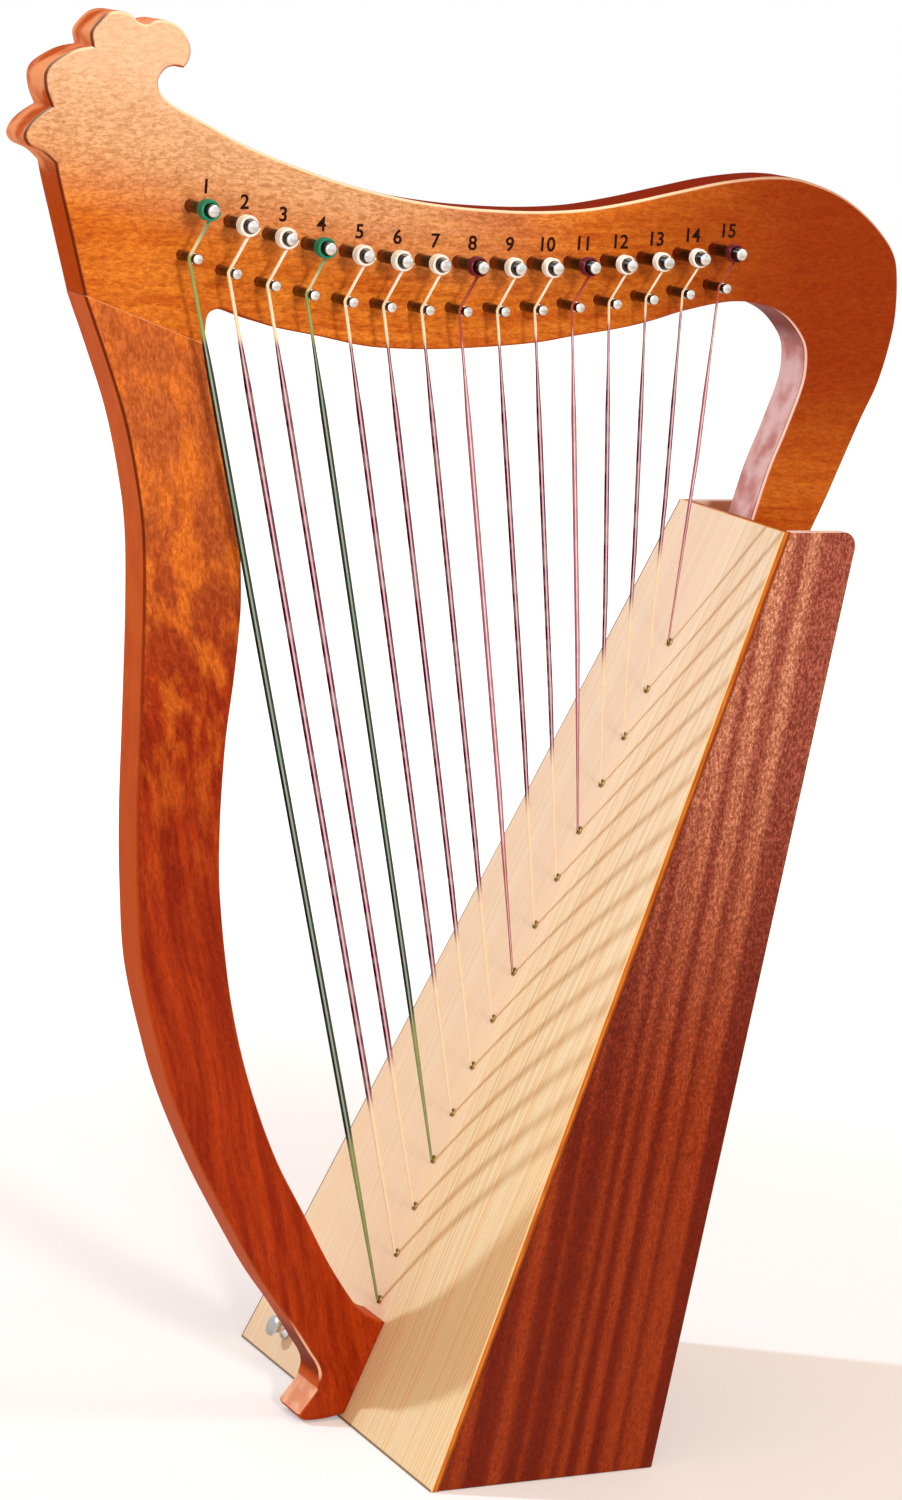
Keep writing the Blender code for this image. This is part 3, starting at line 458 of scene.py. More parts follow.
def neck_outline():
    """Neck, carved head and shoulder, and its two square edges."""
    seat = SEAM - TOP_BLOCK_RECESS
    top = NECK_TOP + [(SHOULDER_INNER + SHOULDER_WIDTH, seat)]
    outline, end = [], []
    for stretch in (NECK_OUTER_SIDE, LOWER_LOBE, MIDDLE_LOBE, UPPER_LOBE, BEAK, HOOK, top):
        outline = outline[:-1] + smooth_line(from_board_top(end + stretch))
        end = stretch[-1:]
    shoulder = len(outline) - 1
    outline += smooth_line(from_board_top([(SHOULDER_INNER, seat)] + NECK_UNDERSIDE))
    return outline, (shoulder, len(outline) - 1)


def on_pillar(points):
    """Pillar points set along the line from the foot to the glue joint."""
    outer, inner = joint_line(SEAM)
    middle = (outer + inner) / 2 / PILLAR_DRAWN_HEIGHT
    return [Vector((height * middle.x + offset, height * middle.y)) for height, offset in points]


def flat(point):
    """The x and z of a point as an outline point."""
    return Vector((point.x, point.z))


def clear_start(line, reach):
    """Drop a line's points next to its start, where the rounded edge turns a sharp corner."""
    return line[:1] + [point for point in line[1:] if (point - line[0]).length > reach]


def pillar_outline():
    """Pillar with its scroll and toe, and its square edges."""
    outer_end, inner_end = joint_line(SEAM)
    outer = smooth_line([outer_end] + on_pillar(PILLAR_OUTER) + SCROLL_HOLLOW)
    contact = flat(board_point(FOOT_CONTACT_START, SEAM))
    bottom = smooth_line(SCROLL_BOTTOM + [contact])
    outline = clear_start(outer, HOLLOW_CLEARING) + clear_start(bottom, SCROLL_CLEARING)
    foot = len(outline) - 1
    outline.append(flat(board_point(TOE_LENGTH, SEAM)))
    toe = [flat(board_point(TOE_LENGTH, TOE_HEIGHT))]
    toe += [flat(board_point(up, out)) for up, out in TOE_ROUND]
    outline += smooth_line(toe + on_pillar(PILLAR_INNER) + [inner_end])
    return outline, (foot, foot + 1, len(outline) - 1)


# Materials. A colour is three 8-bit sRGB values, four linear ones or a socket.

def srgb(red, green, blue):
    """A linear colour from 8-bit sRGB values."""
    def one(value):
        value /= 255
        return value / 12.92 if value <= 0.04045 else ((value + 0.055) / 1.055) ** 2.4
    return (one(red), one(green), one(blue), 1.0)


def dimmed(colour, share):
    """A share of an sRGB colour's light, as a linear colour."""
    return tuple(share * part for part in srgb(*colour)[:3]) + (1.0,)


def add_node(tree, kind, inputs=(), **settings):
    """Add a shader node, set its fields and its inputs by place; an input may be a socket or a value."""
    made = tree.nodes.new("ShaderNode" + kind)
    for key, value in settings.items():
        setattr(made, key, value)
    for key, value in dict(inputs).items():
        if isinstance(value, bpy.types.NodeSocket):
            tree.links.new(value, made.inputs[key])
        else:
            made.inputs[key].default_value = value
    return made


class Shade:
    """A principled material, its colour so far, and short helpers for the nodes that drive it.

    place is the frame that patterns use; x, y and z are the place on the object, and facing_x,
    facing_y and facing_z the surface's own direction.
    """

    def __init__(self, name, **inputs):
        self.material = bpy.data.materials.new(name)
        self.material.use_nodes = True
        self.tree = self.material.node_tree
        self.shader = self.tree.nodes["Principled BSDF"]
        coordinates = self.node("TexCoord").outputs
        self.place = coordinates["Object"]
        self.x, self.y, self.z = self.node("SeparateXYZ", {0: self.place}).outputs
        normal = self.node("SeparateXYZ", {0: coordinates["Normal"]})
        self.facing_x, self.facing_y, self.facing_z = normal.outputs
        self.colour = None
        for key, value in inputs.items():
            self.shader.inputs[key.replace("_", " ")].default_value = value

    def node(self, kind, inputs=(), **settings):
        """Add a node to this material."""
        return add_node(self.tree, kind, inputs, **settings)

    def drive(self, name, value):
        """Let a socket drive one of the shader's inputs."""
        self.tree.links.new(value, self.shader.inputs[name])

    def turn(self, degrees):
        """Turn the pattern's frame about Y, so that its X runs at this angle above the level."""
        rotation = (0.0, math.radians(degrees), 0.0)
        self.place = self.node("Mapping", {"Vector": self.place, "Rotation": rotation}).outputs["Vector"]

    def warp(self, size, amount):
        """Bend the pattern's frame gently."""
        wave = self.node("TexNoise", {"Vector": self.stretch(size, size), "Scale": 1.0, "Detail": 1.0})
        half = (0.5, 0.5, 0.5)
        centred = self.node("VectorMath", {0: wave.outputs["Color"], 1: half}, operation="SUBTRACT")
        scaled = self.node("VectorMath", {0: centred.outputs[0], "Scale": amount}, operation="SCALE")
        added = self.node("VectorMath", {0: self.place, 1: scaled.outputs[0]}, operation="ADD")
        self.place = added.outputs[0]

    def stretch(self, along, across, other=None):
        """The frame scaled so that a pattern's features have these sizes in metres."""
        scale = (1 / along, 1 / (other or across), 1 / across)
        return self.node("Mapping", {"Vector": self.place, "Scale": scale}).outputs["Vector"]

    def noise(self, along, across, detail=2.0, roughness=0.5, other=None, distortion=0.0):
        """Noise whose features are this long and wide."""
        return self.node("TexNoise", {
            "Vector": self.stretch(along, across, other), "Scale": 1.0, "Detail": detail,
            "Roughness": roughness, "Distortion": distortion}).outputs["Fac"]

    def band(self, value, low, high, start=0.0, end=1.0):
        """A smooth ramp between two values."""
        return self.node("MapRange", {
            "Value": value, "From Min": low, "From Max": high, "To Min": start, "To Max": end},
            interpolation_type="SMOOTHSTEP").outputs["Result"]

    def fall(self, value, low, high):
        """A smooth ramp from 1 down to 0."""
        return self.band(value, low, high, 1.0, 0.0)

    def math(self, operation, first, second=0.0):
        """One arithmetic step."""
        return self.node("Math", {0: first, 1: second}, operation=operation).outputs[0]

    def times(self, product, *others):
        """The product of some values."""
        for other in others:
            product = self.math("MULTIPLY", product, other)
        return product

    def rest(self, share):
        """What a share leaves of 1."""
        return self.math("SUBTRACT", 1.0, share)

    def mix(self, share, first, second, blend="MIX"):
        """Blend two colours."""
        first, second = (srgb(*colour) if isinstance(colour, tuple) and len(colour) == 3 else colour
                         for colour in (first, second))
        inputs = {0: share, 6: first, 7: second}
        return self.node("Mix", inputs, data_type="RGBA", blend_type=blend).outputs[2]

    def between(self, pattern, low, high, first, second):
        """A colour that runs from the first to the second as a pattern rises."""
        return self.mix(self.band(pattern, low, high), first, second)

    def lay(self, colour, *shares):
        """Lay a colour over the colour so far, by the product of some shares."""
        self.colour = self.mix(self.times(*shares), self.colour, colour)

    def tint(self, share, pattern, dark, light, low=0.36, high=0.64):
        """Multiply the colour so far by a tint that runs from dark to light with a pattern."""
        tone = self.between(pattern, low, high, dark, light)
        self.colour = self.mix(share, self.colour, tone, "MULTIPLY")

    def sideways(self):
        """1 where the surface faces along Y, 0 where it faces along the plank's plane."""
        return self.math("ABSOLUTE", self.facing_y)

    def edge(self):
        """1 on faces that look along the plank's plane, 0 on its two flat faces."""
        return self.fall(self.sideways(), 0.55, 0.92)

    def rounding(self):
        """1 on the rounded long edges, 0 on the flat faces and the edge faces."""
        across = self.sideways()
        return self.times(self.band(across, 0.1, 0.45), self.fall(across, 0.8, 0.97))

    def off_board(self):
        """How far a place is off the flat soundboard's plane."""
        back = self.times(self.math("SUBTRACT", self.x, SHIFT.x), math.sin(BOARD_ANGLE))
        return self.math("SUBTRACT", self.times(self.z, math.cos(BOARD_ANGLE)), back)

    def shine(self, share, specular, coat):
        """Let specular and coat each run from its first to its second value as a share rises."""
        self.drive("Specular IOR Level", self.band(share, 0.0, 1.0, *specular))
        self.drive("Coat Weight", self.band(share, 0.0, 1.0, *coat))

    def finish(self, pattern, low, high, height=None, depth=0.00006, strength=0.5, least=0.0):
        """Connect the colour, a roughness that follows a pattern, and relief to the shader."""
        self.drive("Base Color", self.colour)
        self.drive("Roughness", self.math("MAXIMUM", self.band(pattern, 0.3, 0.7, low, high), least))
        if height is not None:
            bump = self.node("Bump", {"Height": height, "Distance": depth, "Strength": strength})
            self.drive("Normal", bump.outputs[0])
        return self.material


def neck_wood():
    """Orange mahogany under lacquer, with level grain and short pores; a painted sheen pales the head, and
    painted shade and highlights mark the right end and the edges.
    """
    shade = Shade("neck_mahogany", Coat_Roughness=0.25, Coat_IOR=1.5)
    height, reach = shade.z, shade.x
    shade.warp(0.06, 0.01)
    streaks = shade.noise(0.05, 0.004, 3.0, 0.6)
    flecks = shade.noise(0.0036, 0.0014, 3.0, 0.7, distortion=0.6)
    pores = shade.noise(0.0022, 0.0009, 3.0, 0.75, distortion=0.8)
    figure = shade.noise(0.026, 0.012)
    shade.colour = shade.between(streaks, 0.3, 0.7, (184, 84, 17), (212, 120, 36))
    shade.lay((220, 134, 48), shade.band(figure, 0.35, 0.75, 0.0, 0.45))
    # Painted shade: the right end of the neck is laid darker, less so at its foot.
    right = shade.times(shade.band(reach, 0.018, 0.156), shade.band(height, 0.375, 0.442, 0.4, 1.0))
    shade.lay((136, 44, 1), right, 0.95)
    # Painted sheen: the head and the upper left of the neck are laid paler, palest at the top of the head.
    raised = shade.math("ADD", height, shade.times(shade.math("ADD", reach, 0.14), 0.18))
    shade.lay((218, 172, 130), shade.band(raised, 0.484, 0.522), shade.fall(reach, -0.07, 0.055), 0.86)
    painted_crown_sheen = shade.times(shade.band(raised, 0.515, 0.555), shade.fall(reach, -0.11, -0.04))
    shade.lay((238, 204, 174), painted_crown_sheen, 0.65)
    lively = shade.rest(shade.math("MAXIMUM", shade.times(right, 0.45), shade.times(painted_crown_sheen, 0.62)))
    shade.tint(lively, flecks, (0.82, 0.74, 0.64, 1.0), (1.14, 1.2, 1.27, 1.0))
    shade.tint(lively, pores, (0.8, 0.72, 0.62, 1.0), (1.06, 1.1, 1.12, 1.0), 0.34, 0.56)
    edge = shade.edge()
    shade.lay((168, 58, 12), edge, 0.88)
    inner = shade.times(shade.band(reach, 0.112, 0.124), shade.fall(shade.facing_x, -0.5, 0.0))
    # Painted sheen: the inner edge of the shoulder is laid a pale glossy pink, and dark red-brown at its
    # top.
    sheen = shade.between(figure, 0.34, 0.62, (186, 126, 122), (222, 188, 186))
    shade.lay(shade.between(height, 0.444, 0.456, sheen, (120, 44, 30)), edge, inner, 0.85)
    # Painted shade: the edge faces that look upwards are laid dark red-brown.
    shade.lay((112, 16, 2), edge, shade.band(shade.facing_z, 0.45, 0.75), 0.75)
    # Partly the wood's tone and partly painted highlight: the edge faces of the head's lobes are laid pale
    # orange-tan.
    carved = shade.between(figure, 0.36, 0.6, (190, 86, 36), (240, 160, 110))
    shade.lay(carved, shade.band(height, 0.506, 0.512), shade.fall(reach, -0.12, -0.1), edge, 0.85)
    # Painted highlight: a cream line along the rounded edges that look upwards, fainter towards the right.
    shade.lay((255, 232, 198), shade.rounding(), shade.band(shade.facing_z, 0.15, 0.45),
              shade.band(reach, 0.06, 0.13, 1.0, 0.45))
    # Painted shade and highlight: the rounded edges that look left are laid dark, and on the inner shoulder
    # a pale line beside a dark one.
    line = shade.between(shade.sideways(), 0.35, 0.6, (112, 34, 34), (250, 212, 200))
    shade.lay(shade.mix(inner, (84, 26, 12), line),
              shade.rounding(), shade.fall(shade.facing_x, -0.5, -0.15), 0.85)
    glossy = shade.times(edge, shade.rest(inner))
    shade.shine(glossy, (0.06, 0.01), (0.05, 0.01))
    relief = shade.math("SUBTRACT", streaks, pores)
    return shade.finish(flecks, 0.34, 0.46, relief, least=shade.times(glossy, 0.95))


def pillar_wood():
    """Redder mahogany with grain along the pillar and cloudy lighter figure higher up."""
    shade = Shade("pillar_mahogany", Coat_Roughness=0.22, Coat_IOR=1.5)
    height = shade.z
    shade.turn(104.0)
    shade.warp(0.08, 0.012)
    streaks = shade.noise(0.08, 0.004, 3.0, 0.6)
    flecks = shade.noise(0.0034, 0.0015, 3.0, 0.7, distortion=0.7)
    pores = shade.noise(0.004, 0.0009, 3.0, 0.7, distortion=0.7)
    cloud = shade.noise(0.022, 0.009, 2.5, 0.55)
    upper = shade.band(height, 0.13, 0.33)
    shade.colour = shade.between(streaks, 0.3, 0.7, (132, 33, 4), (164, 54, 10))
    shade.lay((196, 106, 52), shade.band(height, 0.29, 0.42, 0.0, 0.85))
    shade.lay((218, 116, 32), shade.band(cloud, 0.44, 0.64), shade.band(height, 0.21, 0.35, 0.02, 0.62))
    shade.tint(upper, cloud, (0.9, 0.83, 0.77, 1.0), (1.06, 1.08, 1.05, 1.0), 0.38, 0.6)
    quiet = shade.mix(upper, (0.93, 0.9, 0.86, 1.0), (0.8, 0.72, 0.62, 1.0))
    bright = shade.mix(upper, (1.06, 1.08, 1.1, 1.0), (1.16, 1.27, 1.38, 1.0))
    shade.tint(1.0, flecks, quiet, bright, 0.38, 0.64)
    shade.tint(1.0, pores, (0.84, 0.76, 0.68, 1.0), (1.04, 1.06, 1.08, 1.0), 0.34, 0.54)
    edge = shade.edge()
    shade.lay((192, 80, 26), edge, 0.8)
    # Painted shade: the rounded edges that look left are laid dark, most of all higher up.
    shade.lay((84, 24, 10), shade.rounding(), shade.fall(shade.facing_x, -0.5, -0.15),
              shade.band(height, 0.2, 0.4, 0.1, 0.85))
    fresh = shade.between(cloud, 0.38, 0.62, (222, 156, 122), (244, 192, 158))
    shade.lay(fresh, shade.fall(height, 0.012, 0.022), edge, shade.band(shade.facing_z, 0.15, 0.45), 0.8)
    # Painted highlight and shade in the scroll's hollow: its rounded edge is laid pale, and its edge faces
    # dark.
    shade.lay(shade.mix(shade.rounding(), (112, 34, 14), (250, 200, 160)), shade.band(height, 0.017, 0.021),
              shade.fall(height, 0.034, 0.048), shade.fall(shade.facing_x, -0.6, -0.2), 0.85)
    shade.shine(edge, (0.06, 0.01), (0.05, 0.01))
    return shade.finish(flecks, 0.32, 0.44, shade.math("SUBTRACT", streaks, pores))


def panel_wood():
    """Sapele with ribbon stripes along the panel, with a painted sheen and flecks painted to glitter, both
    stronger towards the top.
    """
    shade = Shade("panel_sapele", Specular_IOR_Level=0.06, Coat_Weight=0.02, Coat_Roughness=0.3,
                  Coat_IOR=1.5)
    height = shade.z
    inwards = shade.times(shade.math("SIGN", shade.y), shade.facing_y)
    shade.turn(78.0)
    shade.warp(0.12, 0.003)
    ribbons = shade.noise(1.1, 0.0072, 1.0, 0.35, other=0.4)
    fine = shade.noise(0.16, 0.002)
    flecks = shade.noise(0.0018, 0.001, 3.0, 0.75, distortion=0.6)
    pores = shade.noise(0.004, 0.0008, 2.0, 0.6)
    shade.colour = shade.between(ribbons, 0.36, 0.62, (102, 30, 14), (144, 55, 22))
    shade.lay((122, 34, 12), shade.band(fine, 0.35, 0.7, 0.0, 0.35))
    # Painted sheen: the panel is laid paler towards the top.
    painted_top_sheen = shade.between(ribbons, 0.36, 0.62, (160, 88, 72), (202, 140, 110))
    shade.lay(painted_top_sheen, shade.band(height, 0.13, 0.36, 0.0, 0.74))
    # Painted glints: light and dark flecks, stronger towards the top.
    shade.tint(shade.band(height, 0.06, 0.28, 0.3, 1.0),
               flecks, (0.66, 0.54, 0.5, 1.0), (1.64, 1.94, 2.2, 1.0), 0.42, 0.66)
    shade.lay((84, 22, 12), shade.band(pores, 0.56, 0.68, 0.0, 0.5))
    # Painted reflection: the top faces and inner faces of the panels' rims are laid pale.
    rim = shade.math("MAXIMUM", shade.fall(inwards, -0.8, -0.5), shade.band(shade.facing_z, 0.6, 0.8))
    shade.lay((236, 216, 204), rim, shade.band(height, BLOCK_TOP - 0.0004, BLOCK_TOP), 0.85)
    return shade.finish(flecks, 0.42, 0.54, shade.math("SUBTRACT", fine, pores))


def board_wood():
    """Spruce with straight fine grain, pinker on its far half, dark along its far and bottom edges."""
    shade = Shade("soundboard_spruce", Specular_IOR_Level=0.25, Coat_Weight=0.05, Coat_Roughness=0.35)
    height, across = shade.z, shade.y
    shade.turn(BOARD_DEGREES)
    rings = shade.noise(0.9, 0.5, 1.0, 0.5, other=0.0011)
    broad = shade.noise(0.7, 0.5, 1.0, 0.5, other=0.0075)
    flecks = shade.noise(0.02, 0.4, 2.0, 0.6, other=0.001)
    shade.colour = shade.between(rings, 0.4, 0.66, (236, 218, 176), (222, 184, 134))
    shade.lay((236, 192, 138), shade.band(broad, 0.4, 0.65, 0.0, 0.4))
    shade.lay((214, 164, 108), shade.band(flecks, 0.56, 0.72, 0.0, 0.25))
    shade.lay((240, 208, 180), shade.band(across, -0.022, 0.004, 0.0, 0.5))
    shade.lay((232, 208, 192), shade.band(height, 0.1, 0.36, 0.0, 0.34))
    # A dark seam and a painted shadow: a thin dark line along the board's far and bottom edges.
    taper = (BASE_WIDTH - TOP_WIDTH) / BOX_HEIGHT / 2
    margin = shade.math("ADD", across, shade.times(height, taper))
    line = shade.band(margin, BASE_WIDTH / 2 - 0.0011, BASE_WIDTH / 2 - 0.0007)
    shade.lay((84, 54, 30), shade.math("MAXIMUM", line, shade.fall(height, 0.0007, 0.0011)), 0.8)
    return shade.finish(rings, 0.46, 0.56, rings, 0.00004)


def board_edge():
    """The soundboard's edge: a painted highlight line in front, orange stain, and a dark seam behind."""
    shade = Shade("board_edge_stain_and_highlight", Specular_IOR_Level=0.1)
    off = shade.off_board()
    shade.turn(BOARD_DEGREES)
    streaks = shade.noise(0.09, 0.0016, 3.0, 0.6)
    shade.colour = shade.between(streaks, 0.3, 0.7, (176, 84, 20), (214, 122, 38))
    # Painted highlight: a pale line along the front of the edge.
    shade.lay((246, 208, 150), shade.band(off, -0.0012, -0.0006, 0.0, 0.85))
    shade.lay((112, 42, 14), shade.band(off, -0.0028, -0.0022, 0.85, 0.0))
    shade.lay((124, 84, 32), shade.band(off, -0.0013, -0.001), shade.fall(off, -0.0009, -0.0006), 0.7)
    return shade.finish(streaks, 0.45, 0.55, streaks, 0.00005)


def plain_wood(name, dark, light, degrees, rough=0.6):
    """A quieter wood, for the top block, the pieces inside the box and the glue line."""
    shade = Shade(name)
    shade.turn(degrees)
    streaks = shade.noise(0.09, 0.0026, 3.0, 0.6)
    pores = shade.noise(0.005, 0.0006)
    shade.colour = shade.between(streaks, 0.3, 0.7, dark, light)
    shade.lay(dimmed(dark, 0.45), shade.band(pores, 0.56, 0.72, 0.0, 0.35))
    return shade.finish(pores, rough - 0.05, rough + 0.05, streaks, 0.00005)


def metal(name, colour, roughness, flank=0.72, tip=None):
    """Polished metal with fine turned scratches; painted reflections make it dark on its flanks and bright
    at its ends.

    With a tip, it also gets a painted highlight on top, and from the tip inwards its flanks take a painted
    reflection of the wood.
    """
    shade = Shade(name, Metallic=1.0)
    lines = shade.noise(0.004, 0.0006, 2.0, 0.6)
    cloud = shade.noise(0.003, 0.003, 2.0, 0.6)
    # Painted reflection: the flanks keep only a share of the metal's colour.
    dark = side = dimmed(colour, flank)
    if tip is not None:
        # Painted reflection of the wood near the root, and a painted highlight along the top.
        side = shade.between(shade.y, tip - 0.002, tip + 0.002, dark, (124, 82, 54))
        side = shade.mix(shade.band(shade.facing_z, 0.86, 0.97, 0.0, 0.55), side, colour)
    # Painted reflection: the faces that look along Y, the ends, stay bright.
    shade.colour = shade.between(shade.sideways(), 0.35, 0.8, side, colour)
    shade.lay(dark, shade.band(cloud, 0.35, 0.7, 0.0, 0.3))
    return shade.finish(lines, roughness, roughness + 0.12, lines, 0.00001, 0.3)


def nylon(name, middle, flank, over, wound, held, between=None):
    """Smooth nylon: painted shade darkens both flanks where it runs free; over the wood and where it is
    wound it is plain.

    Over the soundboard only a share of the free look is held back. Some strings have another colour
    from the bridge pin upwards.
    """
    shade = Shade(name, IOR=1.53, Coat_Roughness=0.1, Subsurface_Weight=0.03, Subsurface_Scale=0.0006)
    height, reach = shade.z, shade.x
    cloud = shade.noise(0.006, 0.006, 1.0, 0.5)
    # Painted shade: the string's two flanks, across a fixed direction, are laid dark where it runs free.
    left = shade.math("SUBTRACT", shade.times(shade.facing_y, 0.44), shade.times(shade.facing_x, 0.9))
    flanks = shade.math("MAXIMUM", shade.band(left, 0.04, 0.24), shade.band(left, -0.48, -0.28, 0.92, 0.0))
    neck_height = shade.math("SUBTRACT", height, shade.times(shade.math("MAXIMUM", reach, 0.0), 0.18))
    room = shade.math("SUBTRACT", 0.058, shade.times(height, 0.076))
    on_board = shade.band(shade.math("SUBTRACT", shade.off_board(), room), -0.006, 0.002, held, 0.0)
    calm = shade.math("MAXIMUM", shade.band(neck_height, 0.4445, 0.45), on_board)
    shade.shine(shade.times(flanks, shade.rest(calm)), (0.2, 0.0), (0.05, 0.0))
    shade.colour = shade.mix(flanks, middle, flank)
    shade.lay(over, calm)
    if between:
        first, last = row_point(BRIDGE_ROW, 0), row_point(BRIDGE_ROW, 3)
        slope = (first.z - last.z) / (last.x - first.x)
        above = shade.math("ADD", height, shade.times(reach, slope))
        start = first.z + (first.x + SHIFT.x) * slope
        shade.lay(between, shade.band(above, start, start + 0.0015))
    shade.lay(wound, shade.fall(shade.y, -0.0262, -0.0244))
    shade.lay(dimmed(wound, 0.8), shade.band(cloud, 0.4, 0.7, 0.0, 0.2))
    return shade.finish(cloud, 0.22, 0.34)


def ink():
    """Dark brown print, slightly uneven."""
    shade = Shade("number_ink", Specular_IOR_Level=0.05)
    wear = shade.noise(0.0008, 0.0008, 2.0, 0.6)
    shade.colour = shade.between(wear, 0.4, 0.75, (34, 14, 8), (72, 32, 16))
    return shade.finish(wear, 0.55, 0.7)


NECK_WOOD = neck_wood()
PILLAR_WOOD = pillar_wood()
PANEL_WOOD = panel_wood()
BOARD_WOOD = board_wood()
BOARD_EDGE = board_edge()
TOP_WOOD = plain_wood("top_block_mahogany", (160, 70, 24), (206, 112, 44), 0.0, 0.45)
INNER_WOOD = plain_wood("inner_wood", (190, 150, 100), (222, 186, 138), 70.0)
GLUE = plain_wood("glue_line", (206, 120, 62), (232, 160, 104), -20.0, 0.5)
NICKEL = metal("pin_nickel", (236, 233, 228), 0.16, 0.06, -0.0148)
TUNING_NICKEL = metal("tuning_pin_nickel", (240, 238, 234), 0.16, 0.07, -0.016)
BUTTON_NICKEL = metal("button_nickel", (238, 236, 232), 0.16, 0.5)
STEEL = metal("screw_steel", (168, 168, 170), 0.35)
BRASS = metal("eyelet_brass", (168, 140, 74), 0.3, 0.55)
INK = ink()
CLEAR = nylon("string_clear", (232, 184, 208), (68, 4, 34), (252, 228, 190), (250, 246, 240), 0.85)
GREEN = nylon("string_green", (156, 172, 160), (38, 32, 32), (150, 162, 92), (24, 132, 98), 0.7,
              (236, 222, 172))
RED = nylon("string_red", (244, 214, 222), (160, 98, 118), (176, 84, 66), (104, 16, 28), 0.3)
# The strings that aren't clear, counted from 0 at the longest
NYLON = {0: GREEN, 3: GREEN, 7: RED, 10: RED, 14: RED}


# Wooden pieces

def build_neck():
    """The neck plank with its carved head and shoulder, bored for the pins."""
    neck = plank("neck_plank", *neck_outline(), NECK_WOOD, "neck")
    cutters = []
    for name, row, radius, depth in (("tuning_bores", TUNING_ROW, TUNING_RADIUS, TUNING_SEAT_DEPTH),
                                     ("bridge_bores", BRIDGE_ROW, BRIDGE_RADIUS, BRIDGE_SEAT_DEPTH)):
        places = [row_point(row, index) for index in range(STRING_COUNT)]
        runs = [(place - AXIS_Y * CUT_BEYOND, place + AXIS_Y * (depth + SEAM)) for place in places]
        cutters.append(bores(name, runs, radius + RUNNING_GAP, PIN_SIDES))
    carve(neck, cutters)
    even_shading(neck)


def build_pillar():
    """The curved pillar with its scroll."""
    even_shading(plank("pillar_plank", *pillar_outline(), PILLAR_WOOD, "pillar"))


def build_glue_line():
    """The thin squeezed-out line of glue in the joint between neck and pillar."""
    outer, inner = joint_line()
    low_outer, low_inner = joint_line(SEAM)
    trim = (inner - outer).normalized() * GLUE_TRIM
    outline = [outer + trim, inner - trim, low_inner - trim, low_outer + trim]
    half = PLANK_THICKNESS / 2 - FACE_GAP
    prism("glue_line", outline, lambda z: -half, lambda z: half, GLUE)


def prism(name, outline, low, high, finish, *stands_for):
    """A slab between two side faces, each one's y a function of the height z."""
    bm = bmesh.new()
    stack(bm, [[(x, side(z), z) for x, z in outline] for side in (low, high)])
    return piece(name, bm, finish, *stands_for)


def box_profile(low, high):
    """Side view of the box between two heights, behind the soundboard, its top back corner rounded."""
    front = [z / math.tan(BOARD_ANGLE) + board_slope(BOARD_THICKNESS + SEAM) for z in (low, high)]
    lean = math.degrees(math.atan2(high - low, back_face(high) - back_face(low)))
    run = BOX_CORNER_RADIUS / math.tan(math.radians(90 - lean / 2))
    angles = [math.radians(lean - 90 + (180 - lean) * index / CORNER_STEPS)
              for index in range(CORNER_STEPS + 1)]
    arc = [(back_face(high) - run + BOX_CORNER_RADIUS * math.cos(angle),
            high - BOX_CORNER_RADIUS + BOX_CORNER_RADIUS * math.sin(angle)) for angle in angles]
    return [(front[0], low), (back_face(low), low)] + arc + [(front[1], high)]


def build_box():
    """Side panels, top block, and the back panel with its sound holes."""
    side = box_profile(0.0, BOX_HEIGHT)
    soften(prism("side_panel_left", side, lambda z: -half_width(z), lambda z: SIDE_THICKNESS - half_width(z),
                 PANEL_WOOD, "left_side_panel"))
    soften(prism("side_panel_right", side, lambda z: half_width(z) - SIDE_THICKNESS, half_width,
                 PANEL_WOOD, "right_side_panel"))
    top = box_profile(BLOCK_BOTTOM, BLOCK_TOP)
    soften(prism("top_wood", top, lambda z: -inside_width(z), inside_width, TOP_WOOD, "top_block"),
           BLOCK_EDGE_RADIUS)

    high = BLOCK_BOTTOM - SEAM
    outline = [(back_face(0.0, BACK_THICKNESS), 0.0), (back_face(0.0), 0.0),
               (back_face(high), high), (back_face(high, BACK_THICKNESS), high)]
    back = prism("back_wood", outline, lambda z: -inside_width(z), inside_width, PANEL_WOOD, "back_panel")
    lean = Vector((back_face(1.0) - back_face(0.0), 0.0, 1.0)).normalized()
    out = Vector((lean.z, 0.0, -lean.x)) * BACK_THICKNESS * 2
    cutters = []
    for height, radius in SOUND_HOLES:
        centre = Vector((back_face(height), 0.0, height))
        cutters.append(bores("sound_hole", [(centre - out, centre + out)], radius, SOUND_HOLE_SIDES))
    carve(back, cutters)
    soften(back, BACK_EDGE_RADIUS)


